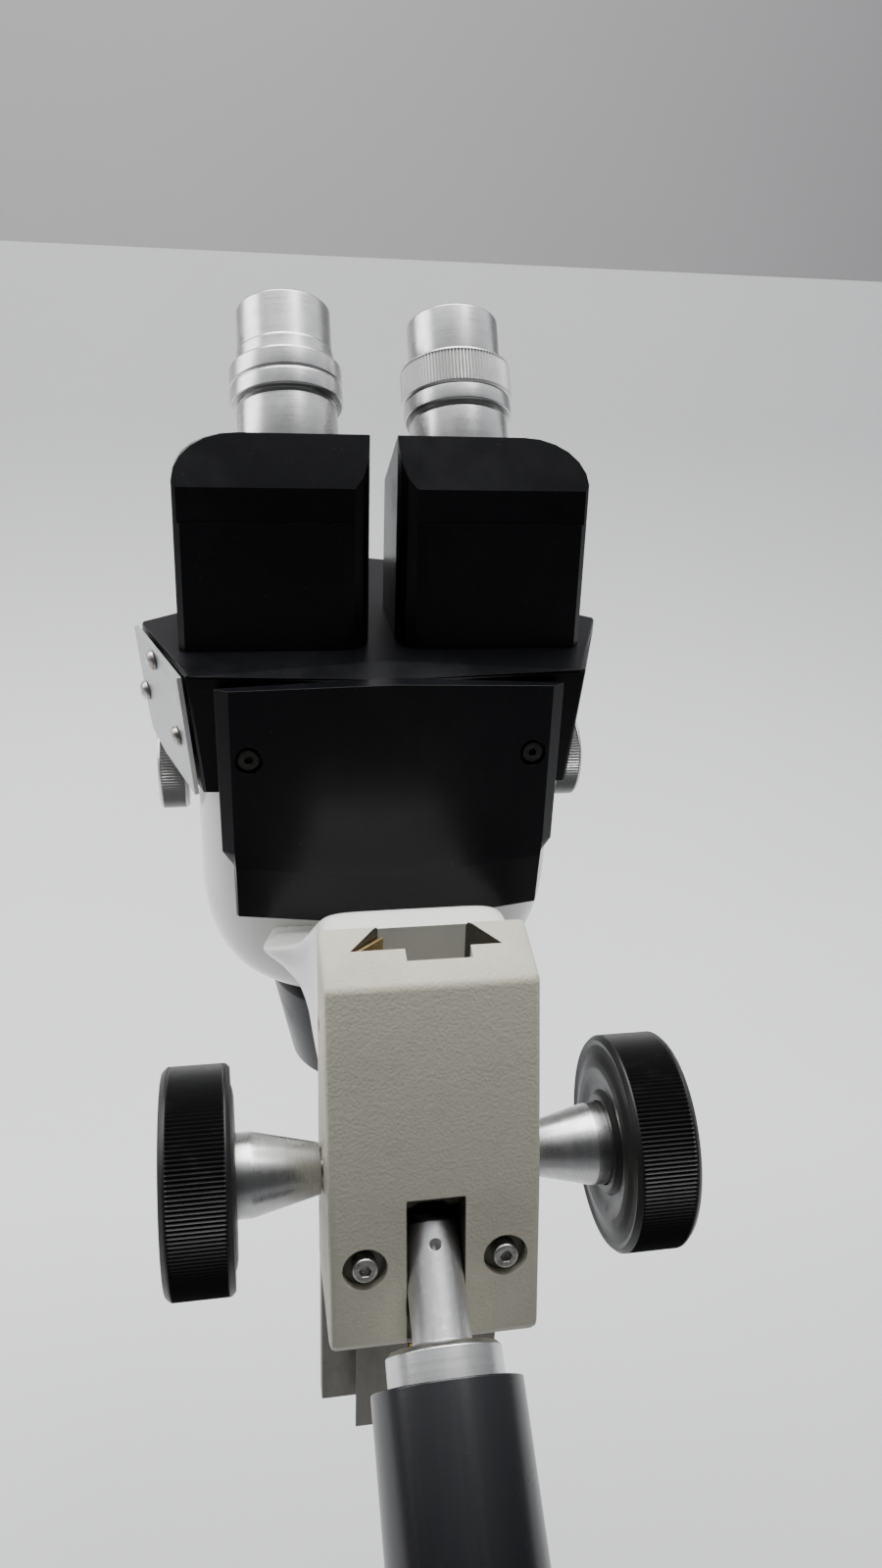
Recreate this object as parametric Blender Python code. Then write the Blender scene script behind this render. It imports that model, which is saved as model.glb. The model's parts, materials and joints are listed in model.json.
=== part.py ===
"""Stereo zoom microscope on a pinned focus block, built piece by piece.

Lengths in this script are millimetres; the mesh helpers turn them into metres.
World frame: origin at the centre of the arm's outer end face, +Z along the optical axis
(up), +Y from the arm towards the operator, +X to the operator's left.
Most pieces are laid out in the block frame, whose origin is the middle of the focus
block's upper rear edge.
"""

from math import atan2, cos, degrees, pi, radians, sin

import bmesh
import bpy
from mathutils import Matrix, Vector

MM = 0.001
GAP = 0.3                      # clearance between neighbouring pieces

# Arm and mounting pin
ARM_RISE = 36.7                # degrees that the arm climbs towards the block
ARM_LENGTH = 150.0             # outer end face to the foot of the pin
TUBE_OD, TUBE_ID = 40.4, 31.6
COLLAR_OD = 31.2
PIN_DIA = 15.875               # 5/8 inch microscope pin
PIN_ABOVE_FOOT = 28.0
COLLAR_BELOW_FOOT = 4.0
TUBE_BELOW_FOOT = 13.1
PIN_FOOT = Vector((0.0, -26.7, -90.5))     # on the pin axis, in the block frame

# Focus block and dovetail
BLOCK_WIDTH = 58.0
BLOCK_FACE_Y = 20.5            # guide face, towards the slide
BLOCK_BOTTOM_Z = -104.0
SLOT_WIDTH = 16.0
SLOT_TOP_Z = -57.8
DOVE_MOUTH, DOVE_DEEP, DOVE_DEPTH = 12.3, 20.8, 8.5
SHAFT_Y, SHAFT_Z = 7.5, -61.3  # focus shaft axis
SHAFT_DIA = 6.0
BUSH_LENGTH = 7.0
MODULE = 1.0
PINION_TEETH = 12
CLAMP_X = 19.4
CLAMP_Y, CLAMP_Z = -17.8, -76.4
FOCUS_KNOB_DIA = 61.6
KNOB_INNER_X, KNOB_OUTER_X = 53.3, 72.2

# Slide
SLIDE_WIDTH = 56.6
SLIDE_NEAR_Y, SLIDE_FAR_Y = BLOCK_FACE_Y + GAP, 26.8
SLIDE_TOP_Z, SLIDE_BOTTOM_Z = -38.0, -164.0
RACK_X, RACK_WIDTH = 3.0, 9.0

# Microscope head
OPTIC_Y = 127.0                # optical axis behind the guide face
POD_HALF_WIDTH, POD_HALF_DEPTH = 61.5, 42.2
DECK_SLOPE = 10.0              # degrees that the deck rises towards the operator
DECK_Y, DECK_Z = 86.0, 60.0    # a point on the deck
BASE_HEIGHT = 39.3
CORNER_Y = 129.0               # widest point of the black base
ZOOM_Y, ZOOM_Z = 135.0, 14.6
ZOOM_KNOB_DIA = 30.0
ZOOM_KNOB_X = 65.0              # inner face of the zoom knobs
EYE_TILT = 29.4                # degrees of the eyepiece axes from vertical
EYE_X = 28.4                   # half the distance between the eyepieces
EYE_Y, EYE_Z = 132.5, 118.9    # eyepiece axis where it leaves the housing
SWIVEL_X, SWIVEL_Y = 38.0, 128.0
HOUSING_Y = 105.0              # rear wall of the prism housings

SIDES = {"right": -1, "left": 1}           # the operator's right and left

for old in list(bpy.data.objects):
    bpy.data.objects.remove(old, do_unlink=True)


# ---------------------------------------------------------------- helpers

def material(name, colour, roughness, metallic=0.0):
    """A Principled material with one colour, roughness and metallic value."""
    mat = bpy.data.materials.new(name)
    mat.use_nodes = True
    shader = mat.node_tree.nodes["Principled BSDF"]
    shader.inputs["Base Color"].default_value = (*colour, 1.0)
    shader.inputs["Roughness"].default_value = roughness
    shader.inputs["Metallic"].default_value = metallic
    return mat


def empty(name, location, parent=None, tilt=0.0):
    """A frame at a point in mm, turned by tilt degrees about its parent's X axis."""
    frame = bpy.data.objects.new(name, None)
    bpy.context.collection.objects.link(frame)
    frame.location = Vector(location) * MM
    frame.rotation_euler = (radians(tilt), 0.0, 0.0)
    frame.parent = parent
    return frame


def place(name, bm, mat, parent, at=(0, 0, 0), turn=(0, 0, 0), smooth=35.0, cutter=False):
    """Turn a bmesh in mm into a named object under its parent frame."""
    bmesh.ops.scale(bm, vec=(MM, MM, MM), verts=bm.verts)
    bmesh.ops.remove_doubles(bm, verts=bm.verts, dist=1e-7)
    bmesh.ops.recalc_face_normals(bm, faces=bm.faces)
    mesh = bpy.data.meshes.new(name)
    bm.to_mesh(mesh)
    bm.free()
    mesh.shade_smooth()
    mesh.set_sharp_from_angle(angle=radians(smooth))
    obj = bpy.data.objects.new(name, mesh)
    bpy.context.collection.objects.link(obj)
    obj.parent = parent
    obj.location = Vector(at) * MM
    obj.rotation_euler = tuple(radians(a) for a in turn)
    if cutter:
        obj.hide_render = True
        obj.display_type = "WIRE"
    else:
        mesh.materials.append(mat)
    return obj


def turned(profile, segments=32):
    """A solid of revolution about Z from a closed (radius, z) outline."""
    bm = bmesh.new()
    verts = [bm.verts.new((r, 0.0, z)) for r, z in profile]
    edges = [bm.edges.new((a, b)) for a, b in zip(verts, verts[1:] + verts[:1])
             if a.co.x > 1e-6 or b.co.x > 1e-6]
    bmesh.ops.spin(bm, geom=verts + edges, axis=(0, 0, 1), cent=(0, 0, 0),
                   angle=2 * pi, steps=segments, use_merge=True)
    bmesh.ops.remove_doubles(bm, verts=bm.verts, dist=1e-4)
    return bm


def rod(radius, low, high, segments=32, chamfer=0.0):
    """A plain or chamfered round bar along Z."""
    c = chamfer
    if c:
        outline = [(0, low), (radius - c, low), (radius, low + c), (radius, high - c),
                   (radius - c, high), (0, high)]
    else:
        outline = [(0, low), (radius, low), (radius, high), (0, high)]
    return turned(outline, segments)


def tube(outer, inner, low, high, segments=32, chamfer=0.0):
    """A round tube along Z, chamfered on its outer edges."""
    c = chamfer
    outline = [(inner, low), (outer - c, low), (outer, low + c), (outer, high - c),
               (outer - c, high), (inner, high)]
    return turned(outline, segments)


def prism(outline, low, high, along="x"):
    """A flat outline extruded along one axis.

    The outline is (y, z) along x, (x, z) along y and (x, y) along z."""
    lift = {"x": lambda a, b, t: (t, a, b), "y": lambda a, b, t: (a, t, b),
            "z": lambda a, b, t: (a, b, t)}[along]
    bm = bmesh.new()
    face = bm.faces.new([bm.verts.new(lift(a, b, low)) for a, b in outline])
    extruded = bmesh.ops.extrude_face_region(bm, geom=[face])["geom"]
    step = Vector(lift(0, 0, high - low))
    bmesh.ops.translate(bm, vec=step, verts=[v for v in extruded
                                             if isinstance(v, bmesh.types.BMVert)])
    return bm


def block(x, y, z):
    """A box between pairs of limits."""
    return prism([(x[0], y[0]), (x[1], y[0]), (x[1], y[1]), (x[0], y[1])], z[0], z[1], "z")


def loft(rings):
    """A closed solid through rings with equal numbers of points, capped at both ends."""
    bm = bmesh.new()
    loops = [[bm.verts.new(p) for p in ring] for ring in rings]
    for low, high in zip(loops, loops[1:]):
        for i in range(len(low)):
            j = (i + 1) % len(low)
            bm.faces.new((low[i], low[j], high[j], high[i]))
    bm.faces.new(loops[0][::-1])
    bm.faces.new(loops[-1])
    bmesh.ops.triangulate(bm, faces=bm.faces)
    return bm


def arc(cx, cy, radius, start, end, steps):
    """Points of an arc, angles in degrees."""
    return [(cx + radius * cos(radians(start + (end - start) * i / steps)),
             cy + radius * sin(radians(start + (end - start) * i / steps)))
            for i in range(steps + 1)]


def boolean(obj, cutter, operation="DIFFERENCE"):
    """Cut, join or intersect obj with a hidden tool object."""
    modifier = obj.modifiers.new(cutter.name, "BOOLEAN")
    modifier.operation = operation
    modifier.solver = "EXACT"
    modifier.object = cutter


def cut(obj, bm, parent, at=(0, 0, 0), turn=(0, 0, 0), operation="DIFFERENCE"):
    """Boolean obj with a bmesh placed like a piece."""
    tool = place(f"tool_{len(bpy.data.objects)}", bm, None, parent, at, turn, cutter=True)
    boolean(obj, tool, operation)


def bevel(obj, width, segments=2, angle=40.0):
    """Round the edges of an object that are sharper than an angle."""
    modifier = obj.modifiers.new("edge", "BEVEL")
    modifier.width = width * MM
    modifier.segments = segments
    modifier.limit_method = "ANGLE"
    modifier.angle_limit = radians(angle)
    modifier.harden_normals = False
    return modifier


ALONG_X = (0, 90, 0)           # turns a piece's Z onto world X

# ---------------------------------------------------------------- materials

BLACK_PAINT = material("black_satin_paint", (0.012, 0.012, 0.015), 0.38)
WHITE_PAINT = material("white_gloss_enamel", (0.78, 0.79, 0.75), 0.22)
CREAM_PAINT = material("cream_wrinkle_paint", (0.56, 0.53, 0.45), 0.6)
ALUMINIUM = material("turned_aluminium", (0.80, 0.80, 0.79), 0.3, 1.0)
DARK_STEEL = material("dark_steel", (0.12, 0.12, 0.11), 0.42, 1.0)
PLATE_GREY = material("grey_plate", (0.45, 0.46, 0.45), 0.45, 0.6)
BLACK_TUBE = material("black_anodised", (0.010, 0.010, 0.013), 0.25, 0.3)
KNOB_BLACK = material("black_phenolic", (0.010, 0.010, 0.010), 0.45)
BRASS = material("brass", (0.65, 0.48, 0.22), 0.35, 1.0)
GLASS = material("coated_glass", (0.10, 0.12, 0.16), 0.05)

# ---------------------------------------------------------------- frames

ARM_TILT = -(90.0 - ARM_RISE)
arm_up = Vector((0.0, cos(radians(ARM_RISE)), sin(radians(ARM_RISE))))
arm_frame = empty("arm_frame", (0, 0, 0), tilt=ARM_TILT)
pin_frame = empty("pin_frame", (0, 0, ARM_LENGTH), arm_frame)
BLOCK_ORIGIN = arm_up * ARM_LENGTH - PIN_FOOT
block_frame = empty("block_frame", BLOCK_ORIGIN)
shaft_frame = empty("shaft_frame", (0, SHAFT_Y, SHAFT_Z), block_frame)
zoom_frame = empty("zoom_frame", (0, ZOOM_Y, ZOOM_Z), block_frame)


def deck_z(y):
    """Height of the sloping deck at a distance y."""
    return DECK_Z + (y - DECK_Y) * sin(radians(DECK_SLOPE)) / cos(radians(DECK_SLOPE))


# ---------------------------------------------------------------- arm

def build_arm():
    """Black tube, its end plug, and the turned pin that plugs the other end."""
    tube_top = ARM_LENGTH - TUBE_BELOW_FOOT
    plug = turned([(0, 0), (TUBE_OD / 2 - 1, 0), (TUBE_OD / 2, 1), (TUBE_OD / 2, 6),
                   (TUBE_ID / 2 - GAP, 6), (TUBE_ID / 2 - GAP, 30), (0, 30)], 40)
    place("arm_end_plug", plug, ALUMINIUM, arm_frame)
    place("arm_tube", tube(TUBE_OD / 2, TUBE_ID / 2, 6 + GAP, tube_top, 40, 0.4),
          BLACK_TUBE, arm_frame)
    radius = PIN_DIA / 2
    collar = COLLAR_OD / 2
    foot = -COLLAR_BELOW_FOOT
    outline = [(0, -48), (collar, -48), (collar, foot - 1.2), (collar - 1.2, foot),
               (radius + 1.0, foot), (radius, foot + 1.0), (radius, PIN_ABOVE_FOOT - 1.2),
               (radius - 1.2, PIN_ABOVE_FOOT), (0, PIN_ABOVE_FOOT)]
    pin = place("mounting_pin", turned(outline), ALUMINIUM, pin_frame)
    cut(pin, rod(1.5, -12, 12, 16), pin_frame, (0, 0, 20.5), (90, 0, 0))


# ---------------------------------------------------------------- focus block

def build_block():
    """Cast block with the dovetail guide, the pin slot and the shaft bores."""
    half = BLOCK_WIDTH / 2
    face = BLOCK_FACE_Y
    bottom = BLOCK_BOTTOM_Z
    side = ([(0.0, 0.0), (face, 7.8), (face, bottom + 1.5)]
            + arc(-13.6, bottom + 7.0, 7.0, -80, -168, 5) + [(-13.4, -57.0)])
    body = place("focus_block", prism(side, -half, half), CREAM_PAINT, block_frame)
    bevel(body, 1.6, 2, 40)

    dovetail = [(-DOVE_MOUTH - 1.0, face + 1.0), (-DOVE_MOUTH, face),
                (-DOVE_DEEP, face - DOVE_DEPTH), (DOVE_DEEP, face - DOVE_DEPTH),
                (DOVE_MOUTH, face), (DOVE_MOUTH + 1.0, face + 1.0)]
    cut(body, prism(dovetail, bottom - 5, 15, "z"), block_frame)
    cut(body, block((RACK_X - 9.0, RACK_X + 9.0), (8.0, face), (bottom - 5, 15)), block_frame)

    pin_top = PIN_FOOT + arm_up * 34.0
    pin_low = PIN_FOOT - arm_up * 25.0
    slot = [(-60, SLOT_TOP_Z), (-5.5, SLOT_TOP_Z), (-5.5, -67.0), (pin_top.y, pin_top.z),
            (pin_low.y, pin_low.z), (-60, pin_low.z)]
    cut(body, prism(slot, -SLOT_WIDTH / 2, SLOT_WIDTH / 2), block_frame)
    reach = SLOT_WIDTH / 2 + 0.1
    mouth = [(0, -30), (17, -30), (17, -7), (reach + 2.6, 3), (reach, 10), (reach, 32), (0, 32)]
    cut(body, turned(mouth, 32), pin_frame)

    bush, bore, gear = 5.8, SHAFT_DIA / 2 + GAP, 7.9
    low, high = BUSH_LENGTH - half, half - BUSH_LENGTH
    steps = [(0, -half - 5), (bush, -half - 5), (bush, low), (bore, low), (bore, RACK_X - 6),
             (gear, RACK_X - 6), (gear, RACK_X + 6), (bore, RACK_X + 6), (bore, high),
             (bush, high), (bush, half + 5), (0, half + 5)]
    cut(body, turned(steps, 32), shaft_frame, turn=ALONG_X)
    for sign in SIDES.values():
        steps = [(0, -18), (2.4, -18), (2.4, -5.6), (6.2, -5.6), (6.2, 6), (0, 6)]
        cut(body, turned(steps, 32), clamp_seat(sign))
    cut(body, block((-24.8, 24.8), (-8.3, 8.3), (bottom - 5, -73.7)), block_frame)
    for z in GIB_SCREWS:
        cut(body, rod(2.4, -2, 14, 16), block_frame, (-half - 0.5, GIB_SCREW_Y, z), ALONG_X)
    return body


GIB_SCREW_Y = 15.2
GIB_SCREWS = (-20.0, -82.0)
CLAMP_TILT = 13.1              # degrees of the lower rear face from vertical
clamp_frames = {}


def clamp_seat(sign):
    """Frame of a clamp screw: origin on the rear face, +Z pointing out of it."""
    if sign not in clamp_frames:
        clamp_frames[sign] = empty(f"clamp_seat_{sign}", (sign * CLAMP_X, CLAMP_Y, CLAMP_Z),
                                   block_frame, 90.0 - CLAMP_TILT)
    return clamp_frames[sign]


def socket_screw(shank, head, head_height, length, socket):
    """Cap screw along Z, head above 0, with a hexagon socket."""
    bm = turned([(0, -length), (shank - 0.4, -length), (shank, -length + 0.4), (shank, 0),
                 (head, 0), (head, head_height - 0.4), (head - 0.4, head_height),
                 (0, head_height)], 20)
    return bm, turned([(0, head_height - 2.2), (socket, head_height - 2.2),
                       (socket, head_height + 1), (0, head_height + 1)], 6)


def build_clamp():
    """Saddle yoke under the pin, pulled up by two cap screws on washers."""
    yoke = place("clamp_yoke", block((-24.4, 24.4), (-7.9, 7.9), (-95.5, -74.1)), DARK_STEEL,
                 block_frame)
    cut(yoke, rod(SLOT_WIDTH / 2 + 0.05, -25, 32, 32), pin_frame)
    for name, sign in SIDES.items():
        seat = clamp_seat(sign)
        cut(yoke, rod(2.3, -30, -5, 16), seat)
        screw, socket = socket_screw(2.0, 3.5, 3.8, 17.5, 1.7)
        piece = place(f"clamp_screw_{name}", screw, DARK_STEEL, seat, (0, 0, -4.3))
        cut(piece, socket, seat, (0, 0, -4.3))
        place(f"clamp_washer_{name}", tube(5.8, 2.3, -5.3, -4.6, 32), DARK_STEEL, seat)
    return yoke


def build_block_details():
    """Shaft bushes, the gib strip and its adjusting screws."""
    half = BLOCK_WIDTH / 2
    for name, sign in SIDES.items():
        place(f"shaft_bush_{name}", tube(5.5, SHAFT_DIA / 2 + 0.1, 0.3 - BUSH_LENGTH, -0.2, 32),
              BRASS, shaft_frame, (sign * half, 0, 0), (0, 90 * sign, 0))
    face = BLOCK_FACE_Y
    near, deep = face - 0.4, face - DOVE_DEPTH + GAP
    outline = [(-DOVE_MOUTH + 0.2, near), (-DOVE_DEEP + 0.6, deep),
               (-DOVE_DEEP + 2.0, deep), (-DOVE_MOUTH + 1.6, near)]
    place("gib_strip", prism(outline, BLOCK_BOTTOM_Z + 2, 4, "z"), BRASS, block_frame)
    for name, z in zip(("upper", "lower"), GIB_SCREWS):
        place(f"gib_screw_{name}", rod(2.1, 0.0, 8.0, 16, 0.4), DARK_STEEL, block_frame,
              (-half + 0.4, GIB_SCREW_Y, z), ALONG_X)


# ---------------------------------------------------------------- focus shaft

def tooth_outline(teeth, root, tip, phase):
    """Closed outline of a spur gear with straight-sided teeth."""
    points = []
    pitch = 2 * pi / teeth
    for i in range(teeth):
        centre = phase + i * pitch
        for radius, offset in ((root, -0.33), (tip, -0.10), (tip, 0.10), (root, 0.33)):
            angle = centre + offset * pitch
            points.append((radius * cos(angle), radius * sin(angle)))
    return points


def build_focus_shaft():
    """Pinion shaft, the two coned hubs and the ribbed knobs, all turning together."""
    pitch_radius = PINION_TEETH * MODULE / 2
    half_pinion = RACK_WIDTH / 2
    shaft = place("pinion_shaft", rod(SHAFT_DIA / 2, -66, 66, 32, 0.5), DARK_STEEL,
                  shaft_frame, turn=ALONG_X)
    gap_phase = pi / PINION_TEETH      # a tooth space faces the rack
    gear = prism(tooth_outline(PINION_TEETH, pitch_radius - 1.2, pitch_radius + 0.8, gap_phase),
                 RACK_X - half_pinion, RACK_X + half_pinion, "x")
    cut(shaft, gear, shaft_frame, operation="UNION")
    inner, outer = KNOB_INNER_X, KNOB_OUTER_X
    knob = FOCUS_KNOB_DIA / 2
    bore = SHAFT_DIA / 2 + GAP
    for name, sign in SIDES.items():
        turn = (0, 90 * sign, 0)
        half = BLOCK_WIDTH / 2 + 0.5
        hub = [(bore, half), (7.0, half), (7.3, half + 1.5), (11.4, inner - 5.5),
               (11.6, inner - 4.5), (11.6, inner + 4.0), (bore, inner + 4.0)]
        hub_piece = place(f"focus_hub_{name}", turned(hub), ALUMINIUM, shaft_frame, turn=turn)
        screw_x = BLOCK_WIDTH / 2 + 5.0
        cut(hub_piece, rod(1.6, 0, 14, 12), shaft_frame, (sign * screw_x, 0, 0), (90, 0, 0))
        place(f"hub_screw_{name}", rod(1.3, bore + GAP, 7.0, 12), DARK_STEEL, shaft_frame,
              (sign * screw_x, 0, 0), (90, 0, 0))
        disc = [(bore, inner + 4.3), (11.9, inner + 4.3), (11.9, inner + 1.5), (14, inner + 1.0),
                (24, inner + 1.4), (28.4, inner), (knob - 0.9, inner + 0.2),
                (knob, inner + 1.4), (knob, outer - 1.4), (knob - 1.4, outer),
                (22, outer), (20.5, outer - 1.5), (bore, outer - 1.5)]
        place(f"focus_knob_{name}", turned(disc, 40), KNOB_BLACK, shaft_frame, turn=turn)


# ---------------------------------------------------------------- slide

def build_slide():
    """Steel slide plate with the male dovetail and the focus rack."""
    half = SLIDE_WIDTH / 2
    place("slide_plate", block((-half, half), (SLIDE_NEAR_Y, SLIDE_FAR_Y),
                               (SLIDE_BOTTOM_Z, SLIDE_TOP_Z)), DARK_STEEL, block_frame)
    face = BLOCK_FACE_Y
    deep = face - DOVE_DEPTH + GAP + 0.1
    slope = (DOVE_DEEP - DOVE_MOUTH) / DOVE_DEPTH
    right_mouth, left_mouth = -DOVE_MOUTH + 2.0, DOVE_MOUTH - 0.4
    depth = face - deep
    bar = [(right_mouth, face), (right_mouth - depth * slope, deep),
           (left_mouth + depth * slope, deep), (left_mouth, face)]
    guide = place("dovetail_bar", prism(bar, SLIDE_BOTTOM_Z - 4, SLIDE_TOP_Z - 4, "z"),
                  DARK_STEEL, block_frame)
    channel = RACK_WIDTH / 2 + 0.5
    cut(guide, block((RACK_X - channel, RACK_X + channel), (0, 17.5), (-200, 0)), block_frame)
    tip = SHAFT_Y + PINION_TEETH * MODULE / 2 - 0.8
    root = SHAFT_Y + PINION_TEETH * MODULE / 2 + 1.2
    back = 17.5 - GAP
    pitch = pi * MODULE
    teeth = 38
    top = SHAFT_Z + 5.5 * pitch
    rack = [(back, top)]
    for i in range(teeth):
        centre = top - (i + 0.5) * pitch
        rack += [(root, centre + 0.33 * pitch), (tip, centre + 0.10 * pitch),
                 (tip, centre - 0.10 * pitch), (root, centre - 0.33 * pitch)]
    rack.append((back, top - teeth * pitch))
    width = RACK_WIDTH / 2
    place("focus_rack", prism(rack, RACK_X - width, RACK_X + width), BRASS, block_frame)


# ---------------------------------------------------------------- head castings

def pod_ring(z, scale_x, scale_y, exponent=2.7, count=32, centre_y=OPTIC_Y):
    """A rounded-square ring of the pod at one height."""
    ring = []
    for i in range(count):
        angle = 2 * pi * i / count
        c, s = cos(angle), sin(angle)
        x = abs(c) ** (2 / exponent) * (1 if c >= 0 else -1) * scale_x
        y = abs(s) ** (2 / exponent) * (1 if s >= 0 else -1) * scale_y
        ring.append((x, centre_y + y, z))
    return ring


def tilted(ring, lift):
    """The same ring laid on a plane parallel to the deck, lift below it."""
    return [(x, y, deck_z(y) - lift) for x, y, z in ring]


def foot_ring(y, half_top, half_low, low, high):
    """A section across the pod's foot at a distance y, narrower below than on top."""
    mid = (low + high) / 2
    half_mid = (half_top + half_low) / 2 + 0.08 * (half_top - half_low)
    return [(-half_low, y, low), (half_low, y, low), (half_mid, y, mid), (half_top, y, high),
            (-half_top, y, high), (-half_mid, y, mid)]


def build_pod():
    """White casting: rounded pod, open at the top, with its foot for the slide."""
    w, d = POD_HALF_WIDTH, POD_HALF_DEPTH
    top = BASE_HEIGHT + GAP
    outer = [tilted(pod_ring(0, w, d), top), pod_ring(-12, w, d), pod_ring(-26, w - 0.8, d - 0.8),
             pod_ring(-38, w - 4, d - 4, 2.6), pod_ring(-48, w - 10, d - 10, 2.4),
             pod_ring(-56, w - 19, d - 18, 2.2), pod_ring(-60, w - 27, d - 24, 2.0)]
    pod = place("pod_body", loft(outer[::-1]), WHITE_PAINT, block_frame)
    foot = [foot_ring(SLIDE_FAR_Y + GAP, 28.6, 27.4, -57, 3), foot_ring(38, 28.6, 27.4, -57, 3),
            foot_ring(54, 38, 27, -52, -13), foot_ring(70, 53, 27, -50, -23),
            foot_ring(94, 53, 30, -50, -27)]
    cut(pod, loft(foot), block_frame, operation="UNION")
    wall = 4.0
    inner = [tilted(pod_ring(0, w - wall, d - wall, count=24), top - 6),
             pod_ring(-12, w - wall, d - wall, count=24),
             pod_ring(-36, w - wall - 5, d - wall - 5, count=24),
             pod_ring(-54, w - wall - 21, d - wall - 20, 2.2, 24)]
    cut(pod, loft(inner[::-1]), block_frame)
    cut(pod, rod(26, -70, -50, 32), block_frame, (0, OPTIC_Y, 0))
    cut(pod, rod(9.5, -4, 4, 32), block_frame, (-2, SLIDE_FAR_Y, -9), (90, 0, 0))
    for sign in SIDES.values():
        cut(pod, rod(4.5, 50, 75, 20), zoom_frame, turn=(0, 90 * sign, 0))
    return pod


BASE_PLAN = ((0.0, 96.0), (62.5, 89.5), (78.0, CORNER_Y), (66.0, 137.0), (52.0, 160.0),
             (30.0, 182.0), (0.0, 190.0))
BASE_FOOT = ((0.0, 86.0), (59.0, 89.0), (73.8, CORNER_Y), (64.0, 150.0), (46.0, 170.0),
             (26.0, 178.0), (0.0, 182.0))


def both_sides(half):
    """Complete a half plan, given from rear centre to front centre, on the other side."""
    return list(half) + [(-x, y) for x, y in half[-2:0:-1]]


def base_ring(half, lift):
    """A plan outline laid parallel to the deck, lift below it."""
    return [(x, y, deck_z(y) - lift) for x, y in both_sides(half)]


def build_base():
    """Black base casting with straight rear flanks, hollow below, with the deck on top."""
    shoulder = [(0.0, 84.5), (63.0, 87.5)] + list(BASE_PLAN[2:])
    drops = dict(zip(shoulder, [1.5, 0.3] + [4.0] * (len(BASE_PLAN) - 2)))
    edge = [(x, y, deck_z(y) - drops[(abs(x), y)]) for x, y in both_sides(shoulder)]
    base = place("head_base", loft([base_ring(BASE_FOOT, BASE_HEIGHT), edge,
                                    base_ring(BASE_PLAN, 0.0)]), BLACK_PAINT, block_frame)
    bevel(base, 0.8, 1, 30)
    wall = 5.0
    inner = [(max(x - wall, 0.0), y + wall if y < 120 else y - wall * 0.9)
             for x, y in BASE_FOOT]
    inner_top = [(max(x - wall - 2, 0.0), y + wall + 3 if y < 120 else y - wall - 3)
                 for x, y in BASE_PLAN]
    cut(base, loft([base_ring(inner, BASE_HEIGHT + 2), base_ring(inner_top, 6.0)]), block_frame)
    for sign in SIDES.values():
        cut(base, rod(ZOOM_KNOB_DIA / 2 + 1.2, ZOOM_KNOB_X - 2.5, 85, 32), zoom_frame,
            turn=(0, 90 * sign, 0))
        well = [(0, -12), (21.0, -12), (21.0, -6.2), (18.4, -6.2), (18.4, 5), (0, 5)]
        cut(base, turned(well, 32), swivel_frame(sign))
    return base


swivel_frames = {}


def swivel_frame(sign):
    """Frame on the deck with its Z axis square to the deck, where a housing turns."""
    if sign not in swivel_frames:
        swivel_frames[sign] = empty(f"swivel_{sign}",
                                    (sign * SWIVEL_X, SWIVEL_Y, deck_z(SWIVEL_Y)),
                                    block_frame, DECK_SLOPE)
    return swivel_frames[sign]


COVER_Y, COVER_RIDGE_Y = 80.4, 75.8


def build_cover():
    """Rear cover: two facets meeting in a shallow ridge, with a tucked-in lower band."""
    back = 84.2
    rows = []
    for z_side, z_mid, outer, inner, tuck in ((57.0, 59.5, 54.8, 50.6, 0), (3.5, 1.0, 54.0, 50.2, 0),
                                              (-1.5, -5.0, 50.6, 49.9, 0),
                                              (-19.5, -23.0, 50.2, 49.5, 2.0)):
        side, mid = COVER_Y + tuck, COVER_RIDGE_Y + tuck
        edge = min(side + 3.0, back - 0.6)
        rows.append([(-outer, back, z_side), (-outer, edge, z_side), (-inner, side, z_side),
                     (0, mid, z_mid), (inner, side, z_side), (outer, edge, z_side),
                     (outer, back, z_side), (0, back, z_mid)])
    cover = place("rear_cover", loft(rows[::-1]), BLACK_PAINT, block_frame)
    for name, sign in SIDES.items():
        x, z = sign * 45.0, 35.0
        seat = (x, COVER_Y + 1.4, z)
        steps = [(0, -6), (1.8, -6), (1.8, -0.3), (4.4, -0.3), (4.4, 5), (0, 5)]
        cut(cover, turned(steps, 20), block_frame, seat, (90, 0, 0))
        screw, socket = socket_screw(1.5, 3.4, 1.5, 1.6, 1.4)
        piece = place(f"cover_screw_{name}", screw, DARK_STEEL, block_frame,
                      seat, (90, 0, 0))
        cut(piece, socket, block_frame, seat, (90, 0, 0))
    return cover


def flank_frame():
    """Frame on the right rear flank: Z out of the casting, Y towards its top edge."""
    foot = Vector((-59.4, 90.0, 20.7))
    top_rear = Vector((-63.4, 88.8, 60.0))
    top_far = Vector((-78.3, 129.0, 67.6))
    normal = (foot - top_rear).cross(top_far - top_rear).normalized()
    if normal.x > 0:
        normal = -normal
    along = (top_far - top_rear).normalized()
    up = normal.cross(along)
    if up.z < 0:
        along, up = -along, -up
    frame = empty("flank_frame", (0, 0, 0), block_frame)
    frame.matrix_local = Matrix.Translation(top_rear * MM) @ Matrix(
        (along, up, normal)).transposed().to_4x4()
    return frame, along, up, top_rear


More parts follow.
